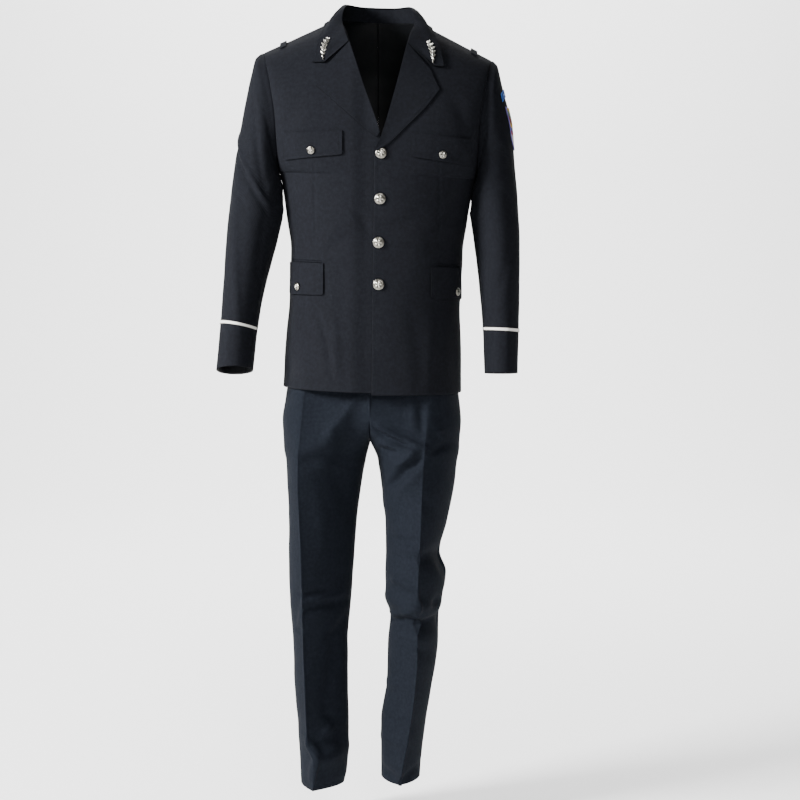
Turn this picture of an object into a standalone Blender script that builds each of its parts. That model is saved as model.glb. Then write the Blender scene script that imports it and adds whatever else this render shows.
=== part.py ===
# Service uniform suit, worn: a four-button jacket and creased trousers, as hollow cloth walls.
# Metres, +Z up. +X is the wearer's left, the front faces -Y.
# The origin lies inside the base of the neck, on the line where the shoulders carry the jacket.

import math

import bpy
import numpy as np
from mathutils import Matrix

MM = 0.001                      # tables and sizes below are written in millimetres

# Cloth
JACKET_WALL = 2.2 * MM          # face cloth with its interlining
TROUSER_WALL = 1.6 * MM
BAND_WALL = 3.0 * MM
SEAM = 0.3 * MM                 # gap between two sewn pieces
LAY = 0.4 * MM                  # gap between a panel and a small piece that lies on it
STIFF_LAY = 1.0 * MM            # the same under a lapel or a flap, which don't follow every curve

# Jacket, driving sizes
LEAN = 0.033                    # the right shoulder stands higher: drop in Z for each unit of X
HEM = -728 * MM
LAP_HEM = -732 * MM             # the lapped front corner hangs a little lower
ARMPIT = -300 * MM
SHOULDER = (228 * MM, 8 * MM, -62 * MM)     # seam end at the sleeve head
NECK = (84 * MM, 3 * MM, 8 * MM)            # where the shoulder seam meets the neck
NECK_BACK = (76 * MM, 12 * MM)              # depth and height of the back neckline
ARM_DEPTH = 74 * MM             # half the armhole, front to back
SQUARE = 0.87                   # exponent of the body section, under 1 is squarer than an ellipse
TUCK = 4.5 * MM                 # the under front lies this much behind the lapped one

# Grid sizes of the solids
LOW_ROWS = 9
TURNS = 9                       # steps up the armhole, 20 degrees each
FRONT_COLUMNS = 11
BACK_COLUMNS = 7
SLEEVE_STEP = 20                # degrees
SLEEVE_LENGTH = 650 * MM        # shoulder to cuff, for sizes along a sleeve
FRONT_SEAM = 160                # sleeve seams, degrees from the outer line towards the front
BACK_SEAM = -120
LEG_COLUMNS = 4                 # in each quarter of a leg


def table(names, rows):
    """Columns of a short table, each an array in metres, keyed by its name."""
    return dict(zip(names.split(), np.array(rows, float).T * MM))


TORSO = table("height centre half side back", [
    (-728, -11, 180.5, 12, 132),
    (-640, -9, 178, 12, 130),
    (-549, -6, 172.5, 12, 115),
    (-448, -1.5, 173.5, 12, 101),
    (-387, -1.5, 182, 11, 106),
    (-345, -1, 188, 10, 115),
    (-320, 0, 192.5, 9, 121),
    (-300, 0, 196.5, 8, 125),
    (-200, 0, 200, 8, 130),
    (-110, 0, 214, 8, 121),
    (-50, 0, 228, 8, 102),
    (12, 0, 228, 8, 76)])

FRONT_EDGE = table("height left right depth", [
    (-732, -11, 2, -132),
    (-640, -10, 8, -130),
    (-540, -9, 12, -127),
    (-448, -8, 13, -123),
    (-350, -6, 14, -131),
    (-262, -5, 14, -136),
    (-228, 8, 8, -134),
    (-117, 40, -30, -104),
    (-42, 59, -54, -64),
    (-7, 70, -66, -32),
    (8, 84, -84, 3)])

ARMHOLE = table("height across", [
    (-300, 196.5), (-254, 199), (-188, 203), (-130, 212), (-88, 221), (-62, 228)])

SLEEVE_NAMES = "outer outer_z inner inner_z depth half front_up"
SLEEVE = {
    1: table(SLEEVE_NAMES, [
        (228, -62, 196.5, -300, 8, 74, 0),
        (239, -70, 197.5, -306, 7, 75, 0),
        (252, -120, 193.8, -322, 5, 77, 0),
        (269, -190, 188.8, -345, 3, 77, 0),
        (275, -262, 187.5, -378, 0, 75, 0),
        (282, -345, 194.5, -432, -5, 72, 0),
        (286, -430, 201, -480, -13, 68, 0),
        (285, -510, 206, -535, -24, 63, 0),
        (283, -590, 211, -600, -35, 58, 3),
        (281, -684, 214, -686, -48, 52, 5)]),
    -1: table(SLEEVE_NAMES, [
        (228, -62, 196.5, -300, 8, 74, 0),
        (243, -72, 197.5, -306, 7, 75, 0),
        (256, -120, 194.2, -322, 5, 77, 0),
        (270, -190, 190.8, -345, 3, 77, 0),
        (284, -268, 190.5, -381, 0, 75, 0),
        (295, -350, 201, -434, -5, 72, 0),
        (304, -435, 215, -486, -13, 68, 0),
        (309, -520, 229, -545, -24, 63, 2),
        (314, -600, 240, -612, -36, 58, 8),
        (323, -698, 249, -695, -50, 52, 12)])}

# Collar, half of it: base and fold of the stand, outer edge of the fall, from the back round to the front
COLLAR = table("base_x base_y base_z fold_x fold_y fold_z edge_x edge_y edge_z", [
    (0, 76, 12, 0, 67, 42, 0, 93, -6),
    (33, 70, 12, 28, 63, 42, 40, 88, -7),
    (62, 52, 11, 48, 46, 42, 76, 70, -5),
    (78, 28, 9, 60, 20, 41, 96, 40, -5),
    (84, 3, 8, 68, -6, 31, 102, 5, -6),
    (78, -18, 0, 72, -24, 8, 112, -28, -22),
    (66, -44, -22, 65, -46, -20, 121, -52, -54),
    (57, -60, -42, 57, -62, -42, 128, -72, -87)])
NOTCH = (102 * MM, -91 * MM)            # where collar and lapel part
NOTCH_AT = 0.62                         # its place along the collar's end
STAND_END = 0.67                        # share of the collar line that has a stand, from the back
COLLAR_SHIFT = 2 * MM                   # the neck sits a little towards the wearer's left

# Lapels: height of the roll line, and outer edge, from the break to the top
LAPEL = {
    1: table("roll_z edge_x edge_z", [
        (-257, 1, -254), (-240, 21, -241.5), (-200, 58, -205), (-120, 93, -169), (-42, 122, -131)]),
    -1: table("roll_z edge_x edge_z", [
        (-219, 0, -228), (-205, -22, -214), (-170, -52, -188), (-115, -85, -160), (-42, -119, -131)])}

# Pocket flaps on the fronts: inner and outer side, top and bottom at each
FLAPS = {
    "chest_flap": (67, 182, -218, -225, -264, -276),
    "hip_flap": (105, None, -477, -477, -539, -541)}
HIP_FLAP_END = 0.86                     # share of the way from the front edge to the side seam
FLAP_PROUD = 0.8 * MM                   # a flap's lower edge stands off this much more than its top

BUTTONS = [(8, -258.5), (6, -347), (3, -432), (3, -514)]
FLAP_BUTTONS = {"chest_button": (127, -257), "hip_button": (155, -525)}
BUTTON_SIZE = (23 * MM, 5.4 * MM)       # diameter, height
SMALL_SIZE = (16 * MM, 4.6 * MM)
WAIST_SIZE = (15 * MM, 3 * MM)

# Trim: thickness, and sizes on the sleeve
TRIM = 1.2 * MM
BRAID_WIDTH = 6 * MM
BRAID_AT = {1: 0.893, -1: 0.893}        # share of the sleeve's length
BRAID_TILT = {1: 0.0075, -1: 0}         # how much further down it lies on the outer line, in the same share
BADGES = {                              # height of the upper and lower edge in mm, half width in degrees of turn
    "sleeve_tab": (-119, -134, 36),
    "sleeve_shield": (-156, -239, 31)}
TAB_ARCH = 12 * MM                      # the tab's ends hang this much below its middle

# Trousers, each leg: side seam, inseam, front and back crease
CROTCH = -833 * MM
TROUSER_TOP = -580 * MM
BAND_TOP = -542 * MM
CENTRE = -15 * MM                       # the centre seam stands a little to the wearer's right
LEG_NAMES = "height outer inner front_x front_y back_x back_y side"
LEGS = {
    1: table(LEG_NAMES, [
        (-1525, 86, 6, 45, -90, 47, 74, 0),
        (-1496, 88, 6, 49, -91, 49, 76, 0),
        (-1412, 98, 6, 64, -93, 54, 84, 0),
        (-1328, 111, 18, 75, -97, 66, 84, -3),
        (-1245, 123, 20, 80, -104, 70, 78, -6),
        (-1190, 124, 25, 80, -110, 74, 66, -10),
        (-1145, 132, 17, 80, -120, 76, 60, -12),
        (-1100, 139, 15, 81, -124, 76, 62, -12),
        (-1059, 126, 16, 83, -122, 76, 72, -10),
        (-997, 141, 15, 86, -118, 78, 86, -4),
        (-915, 157, 6, 89, -117, 80, 102, 2),
        (-874, 161, 1, 91, -116, 78, 110, 5),
        (-850, 165, -8, 93, -116, 76, 116, 8),
        (-833, 166, -14.8, 94, -112, 75, 116, 10),
        (-790, 169, -14.8, 98, -107, 73, 117, 10),
        (-740, 164.5, -14.8, 100, -103, 72, 116, 10),
        (-690, 158, -14.8, 92, -101, 66, 112, 10),
        (-635, 148, -14.8, 80, -101, 60, 102, 10),
        (-580, 139, -14.8, 70, -101, 56, 91, 10)]),
    -1: table(LEG_NAMES, [
        (-1537, -159, -70, -131, -86, -98, 78, 0),
        (-1510, -160, -64, -128, -88, -94, 79, 0),
        (-1471, -162, -61, -124, -92, -92, 80, 0),
        (-1440, -164, -60, -142, -86, -90, 82, 0),
        (-1412, -165, -60, -143, -86, -89, 84, 0),
        (-1328, -171, -62, -146, -88, -90, 87, 0),
        (-1245, -174, -62, -149, -90, -92, 90, 0),
        (-1162, -180, -55, -151, -92, -92, 92, 0),
        (-1079, -182, -49, -152, -94, -92, 94, 0),
        (-997, -181, -43, -155, -96, -93, 98, 2),
        (-915, -185, -32, -158, -99, -94, 105, 4),
        (-874, -187, -25, -158, -100, -95, 111, 6),
        (-850, -191, -19, -157, -99, -96, 115, 8),
        (-833, -192, -15.2, -155, -98, -97, 116, 10),
        (-790, -193, -15.2, -151, -90, -98, 116, 10),
        (-740, -186, -15.2, -146, -82, -98, 114, 10),
        (-690, -181, -15.2, -136, -87, -94, 111, 10),
        (-635, -168, -15.2, -118, -93, -88, 101, 10),
        (-580, -153, -15.2, -100, -96, -84, 90, 10)])}
RISE = table("height front back", [
    (-833, 10, 10), (-829, -24, 42), (-819, -58, 72), (-800, -86, 96), (-775, -104, 110),
    (-740, -114, 120), (-690, -113, 116), (-635, -111, 104), (-580, -107, 92)])
FULL_RISE = (-920 * MM, -775 * MM)      # heights over which the inner thigh widens to the whole rise
BAND_OPEN = 0.012                       # turn left open at each end of the waistband, in radians
WAIST_BUTTON_IN = 9 * MM                # from the centre line
FLY_SIZE = (34 * MM, 130 * MM)
PRESS = [(-1537, 2.0), (-1050, 1.8), (-833, 1.45), (-700, 1.2), (-580, 1.0)]     # crease sharpness by height
LEG_HEIGHTS = [0, 0.04, 0.09, 0.14, 0.2, 0.28, 0.36, 0.44, 0.5, 0.56, 0.61, 0.66, 0.72, 0.79, 0.87, 0.94, 0.975]
RISE_HEIGHTS = [-833, -831, -826, -815, -798, -770, -728, -680, -630, -580]

# Largest folds of the trousers: leg, from x z to x z, width, height (a ridge, or a trough below 0)
FOLDS = [
    (1, 12, -880, 92, -835, 16, 5), (1, 20, -960, 84, -880, 18, 5), (1, 20, -925, 88, -858, 10, -4),
    (1, 20, -1150, 118, -1160, 16, 6), (1, 30, -1198, 120, -1200, 14, -5), (1, 60, -1062, 128, -1050, 15, -5),
    (-1, -60, -760, -110, -850, 26, 5), (-1, -40, -800, -80, -880, 22, -6), (-1, -150, -870, -80, -850, 16, -4),
    (-1, -70, -1460, -118, -1475, 20, 4)]

CLOTH = "#20242b"
TROUSER_CLOTH = "#1d222a"
METAL = "#b9b6ac"
BRAID = "#e4e2dc"
BLUE = "#2f5fae"
SHIELD = "#3a3f6e"


def smooth(knots, values, at):
    """Cubic through the knots that never overshoots: inner slopes are harmonic means of the neighbours."""
    step = np.diff(knots)
    rise = np.diff(values) / step
    same = rise[:-1] * rise[1:] > 0
    total = np.where(same, rise[:-1] + rise[1:], 1)
    slope = np.concatenate([rise[:1], np.where(same, 2 * rise[:-1] * rise[1:] / total, 0), rise[-1:]])
    at = np.asarray(at, float)
    i = np.clip(np.searchsorted(knots, at) - 1, 0, len(step) - 1)
    t = np.clip((at - knots[i]) / step[i], 0, 1)
    span = step[i]
    return ((2 * t**3 - 3 * t**2 + 1) * values[i] + (t**3 - 2 * t**2 + t) * span * slope[i]
            + (3 * t**2 - 2 * t**3) * values[i + 1] + (t**3 - t**2) * span * slope[i + 1])


def read(columns, name, at, key="height"):
    """A named column of a table, read smoothly at the given heights."""
    return smooth(columns[key], columns[name], at)


def along(columns, name, t):
    """A named column of a table whose rows are evenly spaced over t from 0 to 1."""
    return smooth(np.linspace(0, 1, len(columns[name])), columns[name], t)


def step_up(value, low, high):
    """0 below low, 1 above high, with a smooth rise between them."""
    t = np.clip((value - low) / (high - low), 0, 1)
    return t * t * (3 - 2 * t)


def unit(vectors):
    return vectors / np.maximum(np.linalg.norm(vectors, axis=-1, keepdims=True), 1e-12)


def normals_of(points, toward):
    """Normals of a grid of points, all turned to the side that `toward` points to."""
    down = np.gradient(points, axis=0)
    across = np.gradient(points, axis=1)
    normals = unit(np.cross(down, across))
    return normals if np.mean(np.sum(normals * toward, axis=-1)) > 0 else -normals


def body_row(side, front, r):
    """Ends of a row of the jacket body. r is 0 at the hem, 1 at the armpit and 2 on the shoulder.

    Up to the armpit the outer end is the side seam. Above it the outer end climbs the armhole, half an
    ellipse, and both heights run as the cosine of the same turn.
    """
    turn = math.pi * (2 - np.clip(r, 1, 2))
    low = np.clip(r, 0, 1)
    lift = (np.cos(turn) + 1) / 2
    top = NECK[2] if front else NECK_BACK[1]
    hem = LAP_HEM if front and side > 0 else HEM
    z_in = hem + (ARMPIT - hem) * low + (top - ARMPIT) * lift
    z_out = HEM + (ARMPIT - HEM) * low + (SHOULDER[2] - ARMPIT) * lift
    facing = -1 if front else 1
    y_out = read(TORSO, "side", z_out) + facing * ARM_DEPTH * np.sin(turn)
    x_side = read(TORSO, "centre", z_out) + side * read(TORSO, "half", z_out)
    x_out = np.where(r <= 1, x_side, side * read(ARMHOLE, "across", z_out))
    if front:
        x_in = read(FRONT_EDGE, "left" if side > 0 else "right", z_in)
        y_in = read(FRONT_EDGE, "depth", z_in)
    else:
        x_in = read(TORSO, "centre", z_in)
        y_in = read(TORSO, "back", z_in)
    return (x_in, y_in, z_in), (x_out, y_out, z_out), turn


def body_point(side, front, r, v):
    """Outer surface of the jacket body. v is 0 at the centre and 1 at the side seam or armhole.

    Across a row, X runs as a power of the sine and Y as the same power of the cosine of a quarter turn,
    a superellipse. The top rows of the back bend over to the neckline and the shoulder seam.
    """
    (x_in, y_in, z_in), (x_out, y_out, z_out), turn = body_row(side, front, r)
    share = np.sin(v * math.pi / 2) ** SQUARE
    x = x_in + (x_out - x_in) * share
    y = y_out + (y_in - y_out) * np.clip(np.cos(v * math.pi / 2), 0, 1) ** SQUARE
    z = z_in + (z_out - z_in) * share
    if front:
        near_lap = step_up(x, -52 * MM, -18 * MM)
        y = y + (TUCK * near_lap if side < 0 else 0)
    else:
        bend = np.where((r > 1) & (turn < math.pi / 2), (1 - np.sin(turn)) ** 2, 0)
        reach = np.abs(x)
        past = np.clip((reach - NECK[0]) / (SHOULDER[0] - NECK[0]), 0, 1)
        ring = np.sqrt(np.clip(1 - (reach / NECK[0]) ** 2, 0, 1))
        y_top = NECK[1] + (NECK_BACK[0] - NECK[1]) * ring + (SHOULDER[1] - NECK[1]) * past
        z_top = NECK[2] + (NECK_BACK[1] - NECK[2]) * ring + (SHOULDER[2] - NECK[2]) * past
        y = y + bend * (y_top - y)
        z = z + bend * (z_top - z)
    return np.stack(np.broadcast_arrays(x, y, z), -1)


def front_at(side, x, z, lift=0.0):
    """The point of a front's outer surface seen at x and z from the front, moved out by `lift`."""
    x, z = np.broadcast_arrays(np.asarray(x, float), np.asarray(z, float))
    rows = np.linspace(0, 2, 401)

    def depth(px, pz):
        (x_in, _, z_in), (x_out, _, z_out), _ = body_row(side, True, rows)
        share = np.clip((px[..., None] - x_in) / (x_out - x_in), 0, 1)
        height = z_in + (z_out - z_in) * share
        k = np.clip(np.sum(height < pz[..., None], -1) - 1, 0, len(rows) - 2)
        below = np.take_along_axis(height, k[..., None], -1)[..., 0]
        above = np.take_along_axis(height, k[..., None] + 1, -1)[..., 0]
        r = rows[k] + (rows[1] - rows[0]) * np.clip((pz - below) / (above - below), 0, 1)
        (x_in, _, _), (x_out, _, _), _ = body_row(side, True, r)
        share = np.clip((px - x_in) / (x_out - x_in), 0, 1)
        v = np.arcsin(share ** (1 / SQUARE)) * 2 / math.pi
        return body_point(side, True, r, v)[..., 1]

    d = 1.5 * MM
    y = depth(x, z)
    slope_x = (depth(x + d, z) - depth(x - d, z)) / (2 * d)
    slope_z = (depth(x, z + d) - depth(x, z - d)) / (2 * d)
    normal = unit(np.stack([slope_x, -np.ones_like(y), slope_z], -1))
    lift = np.broadcast_to(np.asarray(lift, float), y.shape)
    return np.stack([x, y, z], -1) + normal * lift[..., None], normal


def leaned(points):
    """The jacket's small lean: points drop as they go towards the wearer's left."""
    out = points.copy()
    out[..., 2] -= LEAN * points[..., 0]
    return out


def trimmed(points, first_row=False, last_row=False, first_column=False, last_column=False, by=SEAM / 2):
    """Draws the named edges of a grid back along the surface, half a seam gap each."""
    points = points.copy()
    if first_row:
        points[0] += unit(points[1] - points[0]) * by
    if last_row:
        points[-1] += unit(points[-2] - points[-1]) * by
    if first_column:
        points[:, 0] += unit(points[:, 1] - points[:, 0]) * by
    if last_column:
        points[:, -1] += unit(points[:, -2] - points[:, -1]) * by
    return points


def linear(colour):
    """Linear colour of an sRGB hex value."""
    parts = [int(colour[i:i + 2], 16) / 255 for i in (1, 3, 5)]
    return [c / 12.92 if c < 0.04045 else ((c + 0.055) / 1.055) ** 2.4 for c in parts] + [1]


def material(name, colour, rough, metal=0.0):
    made = bpy.data.materials.get(name) or bpy.data.materials.new(name)
    made.use_nodes = True
    shader = made.node_tree.nodes["Principled BSDF"]
    shader.inputs["Base Color"].default_value = linear(colour)
    shader.inputs["Roughness"].default_value = rough
    shader.inputs["Metallic"].default_value = metal
    return made


def keep(name, mesh, finish):
    """Puts a mesh into the suit's collection as one named object."""
    obj = bpy.data.objects.new(name, mesh)
    obj.data.materials.append(finish)
    mesh.shade_smooth()
    mesh.set_sharp_from_angle(angle=math.radians(35))
    suit.objects.link(obj)
    return obj


def wall(name, outer, normals, thick, finish, lean=True):
    """A cloth wall: a grid of outer points, the same grid moved in by `thick`, and a rim all round."""
    rows, columns = outer.shape[:2]
    inner = outer - normals * thick
    points = np.concatenate([outer.reshape(-1, 3), inner.reshape(-1, 3)])
    index = np.arange(rows * columns).reshape(rows, columns)
    back = index + rows * columns
    quads = [np.stack([index[:-1, :-1], index[1:, :-1], index[1:, 1:], index[:-1, 1:]], -1).reshape(-1, 4),
             np.stack([back[:-1, :-1], back[:-1, 1:], back[1:, 1:], back[1:, :-1]], -1).reshape(-1, 4)]
    loop = np.concatenate([index[0, :-1], index[:-1, -1], index[-1, :0:-1], index[:0:-1, 0]])
    after = np.roll(loop, -1)
    quads.append(np.stack([loop, after, after + rows * columns, loop + rows * columns], -1))
    faces = np.concatenate(quads)
    facing = np.cross(outer[1, 0] - outer[0, 0], outer[0, 1] - outer[0, 0])
    if np.dot(facing, normals[0, 0]) < 0:
        faces = faces[:, ::-1]
    mesh = bpy.data.meshes.new(name)
    mesh.from_pydata((leaned(points) if lean else points).tolist(), [], faces.tolist())
    return keep(name, mesh, finish)


def jacket_panel(side, front):
    """A front or back panel, hem to shoulder, with the seams' shared normals along its edges."""
    r = np.concatenate([np.linspace(0, 1, LOW_ROWS + 1)[:-1], np.linspace(1, 2, TURNS + 1)])
    v = np.linspace(0, 1, (FRONT_COLUMNS if front else BACK_COLUMNS) + 1)
    points = body_point(side, front, r[:, None], v[None, :])
    normals = normals_of(points, points * [1, 1, 0])
    turn = math.pi * (2 - np.clip(r, 1, 2))
    facing = -1 if front else 1
    seam = np.stack([side * np.ones_like(r), 0 * r, 0 * r], -1)
    ring = np.stack([0 * r, facing * np.sin(turn), np.cos(turn)], -1)
    normals[:, -1] = np.where((r < 1)[:, None], seam, ring)
    shoulder = unit(np.array([-side * (SHOULDER[2] - NECK[2]), 0, SHOULDER[0] - NECK[0]]))
    if front:
        normals[-1, :] = shoulder
    else:
        normals[:, 0] = unit(normals[:, 0] * [0, 1, 1])
        reach = np.abs(points[-1, :, 0])
        around = unit(points[-1] * [1, 1, 0])
        normals[-1] = np.where((reach < NECK[0] - 1 * MM)[:, None], around, shoulder)
        points[-1] += (reach < NECK[0] - 1 * MM)[:, None] * np.array([0, 0, -SEAM / 2])
    points = trimmed(points, last_row=True, last_column=True, first_column=not front)
    name = "jacket_%s_%s" % ("front" if front else "back", "left" if side > 0 else "right")
    return wall(name, points, normals, JACKET_WALL, cloth)


def sleeve_point(side, s, turn):
    """Outer surface of a sleeve. s is 0 at the armhole and 1 at the cuff, turn is 0 on the outer line.

    Each ring is an ellipse between the outer and inner lines of the sleeve. The first ones take the
    armhole's own bow, and the cuff rises in front by front_up.
    """
    rows = SLEEVE[side]
    outer, inner = along(rows, "outer", s), along(rows, "inner", s)
    outer_z, inner_z = along(rows, "outer_z", s), along(rows, "inner_z", s)
    cos, sin = np.cos(turn), np.sin(turn)
    x = (outer + inner) / 2 + cos * (outer - inner) / 2
    z = (outer_z + inner_z) / 2 + cos * (outer_z - inner_z) / 2 + along(rows, "front_up", s) * sin
    y = along(rows, "depth", s) - along(rows, "half", s) * sin
    mid, half = (SHOULDER[2] + ARMPIT) / 2, (SHOULDER[2] - ARMPIT) / 2
    chord = (SHOULDER[0] + ARMHOLE["across"][0]) / 2 + cos * (SHOULDER[0] - ARMHOLE["across"][0]) / 2
    bow = read(ARMHOLE, "across", mid + half * cos) - chord
    x = x + bow * np.clip(1 - s * 4, 0, 1) ** 2
    return np.stack(np.broadcast_arrays(side * x, y, z), -1)


def sleeve_grid(side, s, first, last, tilt=0.0):
    """Points and normals of the part of a sleeve between two turns, in degrees."""
    turns = np.radians(np.arange(first, last + 1, SLEEVE_STEP))
    s = s[:, None] + tilt * np.cos(turns)
    points = sleeve_point(side, s, turns)
    middle = (sleeve_point(side, s, 0 * turns) + sleeve_point(side, s, 0 * turns + math.pi)) / 2
    normals = normals_of(points, points - middle)
    return points, normals, turns


def sleeve(side, top):
    """The top or the under sleeve, a half tube from the armhole to the cuff."""
    s = np.array([0, 0.06, 0.13, 0.22, 0.33, 0.44, 0.55, 0.66, 0.77, 0.88, 1])
    first, last = (BACK_SEAM, FRONT_SEAM) if top else (FRONT_SEAM, BACK_SEAM + 360)
    wide, wide_normals, turns = sleeve_grid(side, s, first - SLEEVE_STEP, last + SLEEVE_STEP)
    points, normals, turns = wide[:, 1:-1], wide_normals[:, 1:-1].copy(), turns[1:-1]
    normals[0] = np.stack([0 * turns, -np.sin(turns), np.cos(turns)], -1)
    points = trimmed(points, first_row=True)
    points = trimmed(points, first_column=True, last_column=True, by=SEAM)
    name = "sleeve_%s_%s" % ("top" if top else "under", "left" if side > 0 else "right")
    return wall(name, points, normals, JACKET_WALL, cloth)


def clear_of(points, surface, gap):
    """Moves points out of a surface, given as points and normals, until they stand `gap` above it."""
    spots, ways = surface
    flat = points.reshape(-1, 3).copy()
    for _ in range(3):
        near = np.argmin(np.linalg.norm(flat[:, None] - spots[None], axis=-1), axis=1)
        height = np.sum((flat - spots[near]) * ways[near], -1)
        flat += ways[near] * np.clip(gap - height, 0, None)[:, None]
    return flat.reshape(points.shape)


def shoulder_surface(side):
    """Dense points and normals of one half of the jacket's upper body."""
    spots, ways = [], []
    for front in (True, False):
        r, v = np.linspace(1.0, 2, 60), np.linspace(0, 1, 60)
        points = body_point(side, front, r[:, None], v[None, :])
        normals = normals_of(points, points * [1, 1, 0] + [0, 0, 0.2])
        spots.append(points.reshape(-1, 3))
        ways.append(normals.reshape(-1, 3))
    return np.concatenate(spots), np.concatenate(ways)


def collar_line(part, a):
    """A line of the collar over a from -1, the wearer's right front, through 0, the back, to 1."""
    line = [along(COLLAR, part + axis, np.abs(a)) for axis in ("_x", "_y", "_z")]
    return np.stack([line[0] * np.sign(a) + COLLAR_SHIFT, line[1], line[2]], -1)


def fold_normal(a):
    """The way out of the collar's fold, square to it: both layers end along this line."""
    fold = collar_line("fold", a)
    out = fold - (collar_line("base", a) + collar_line("edge", a)) / 2
    run = unit(np.gradient(fold, axis=0))
    return unit(out - run * np.sum(out * run, -1, keepdims=True))


def collar_fall_point(a, t):
    """The turned-down leaf of the collar: t is 0 on the fold and 1 on the outer edge.

    Each section is a quadratic curve from fold to edge, drawn out level at the fold. Towards the front
    ends the sections swing over to the bent line of the collar's end, fold to notch to tip.
    """
    fold, edge = collar_line("fold", a), collar_line("edge", a)
    a, t = a[..., None], t[..., None]
    lift = np.array([0, 0, 5 * MM]) * (1 - np.abs(a)) ** 0.3
    knee = fold + (edge - fold) * [0.62, 0.62, 0.08] + lift
    soft = fold * (1 - t) ** 2 + 2 * t * (1 - t) * knee + edge * t ** 2
    notch_x = NOTCH[0] * np.sign(a) + COLLAR_SHIFT
    x_end = np.where(t < NOTCH_AT, fold[..., :1] + (notch_x - fold[..., :1]) * t / NOTCH_AT,
                     notch_x + (edge[..., :1] - notch_x) * (t - NOTCH_AT) / (1 - NOTCH_AT))
    z_end = np.where(t < NOTCH_AT, fold[..., 2:] + (NOTCH[1] - fold[..., 2:]) * t / NOTCH_AT,
                     NOTCH[1] + (edge[..., 2:] - NOTCH[1]) * (t - NOTCH_AT) / (1 - NOTCH_AT))
    y_end = fold[..., 1:2] + (edge[..., 1:2] - fold[..., 1:2]) * t
    end = np.concatenate([x_end, y_end, z_end], -1)
    swing = step_up(np.abs(a), 0.78, 1.0) ** 1.5
    return soft + (end - soft) * swing


def collar_fall_grid(a, t):
    """Points and normals of the collar leaf, standing clear of the body under it."""
    points = collar_fall_point(*np.broadcast_arrays(a[:, None], t[None, :]))
    for side in (1, -1):
        half = a * side >= 0
        cleared = clear_of(points[half], shoulder_surface(side), JACKET_WALL + 3.2 * MM)
        on_front = (np.abs(a[half]) > STAND_END)[:, None] | (t > 0)[None, :]
        points[half] = np.where(on_front[..., None], cleared, points[half])
    toward = points * [1, 1, 0] + [0, -0.02, 0.12]
    return points, normals_of(points, toward)


def collar():
    """The collar: its stand inside the neck and the leaf that turns down over it."""
    a = np.linspace(-1, 1, 25)
    t = np.array([0, 0.12, 0.35, NOTCH_AT, 0.82, 1])
    points, normals = collar_fall_grid(a, t)
    stood = np.abs(a) < STAND_END + 0.1
    normals[stood, 0] = fold_normal(a)[stood]
    points = trimmed(points, first_row=True, last_row=True)
    wall("collar_fall", points, normals, JACKET_WALL, cloth)
    b = a[np.abs(a) < STAND_END + 0.01]
    base, fold = collar_line("base", b), collar_line("fold", b)
    base = base + [0, 0, SEAM / 2]
    room = JACKET_WALL + 6 * SEAM + 2.5 * MM * step_up(np.abs(b), 0.35, 0.6)
    fold = fold - fold_normal(b) * room[:, None]
    share = np.array([0, 0.5, 1])[None, :, None]
    points = base[:, None] + (fold - base)[:, None] * share
    inward = unit(points * [-1, -1, 0])
    normals = normals_of(points, inward)
    normals[:, [0, -1]] = unit(normals[:, [0, -1]] * [1, 1, 0])
    wall("collar_stand", points, normals, JACKET_WALL, cloth)


def lapel_points(side, a, b):
    """A lapel over its front: a is 0 at the break and 1 at the top, b is 0 on the roll line and 1 outside.

    Seen from the front it is ruled between the roll line and the outer edge, and its top bends at the
    notch. It lies on the front and stands a little proud along the roll.
    """
    rows = LAPEL[side]
    roll_z = along(rows, "roll_z", a)
    edge_x, edge_z = along(rows, "edge_x", a), along(rows, "edge_z", a)
    roll_x = read(FRONT_EDGE, "left" if side > 0 else "right", roll_z)
    x = roll_x + (edge_x - roll_x) * b
    z = roll_z + (edge_z - roll_z) * b
    notch_x = side * NOTCH[0] + COLLAR_SHIFT
    share = np.where(b < 0.7, b / 0.7, 1 - (b - 0.7) / 0.3)
    bend = step_up(a, 0.55, 1) * share
    mid_x = roll_x + (edge_x - roll_x) * 0.7
    mid_z = roll_z + (edge_z - roll_z) * 0.7
    x = x + bend * (notch_x - mid_x)
    z = z + bend * (NOTCH[1] - SEAM * 2 - mid_z)
    low = 1 - step_up(a, 0.0, 0.3)
    proud = (JACKET_WALL + STIFF_LAY + 2.5 * MM * (1 - b) ** 3 * step_up(a, 0.0, 0.25)
             + 5 * MM * low * (side > 0))
    return front_at(side, x, z, proud)


def lapel(side):
    """A lapel, turned back over its front and curled round the front's edge along the roll."""
    a, b = np.broadcast_arrays(np.linspace(0, 1, 12)[:, None], np.array([0, 0.12, 0.4, 0.7, 0.85, 1])[None, :])
    points, normals = lapel_points(side, a, b)
    normals[:, 0] = unit(normals[:, 0] + np.array([-side * 1.2, 0, 0]))
    points = trimmed(points, last_row=True)
    return wall("lapel_%s" % ("left" if side > 0 else "right"), points, normals, JACKET_WALL, cloth)


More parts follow.
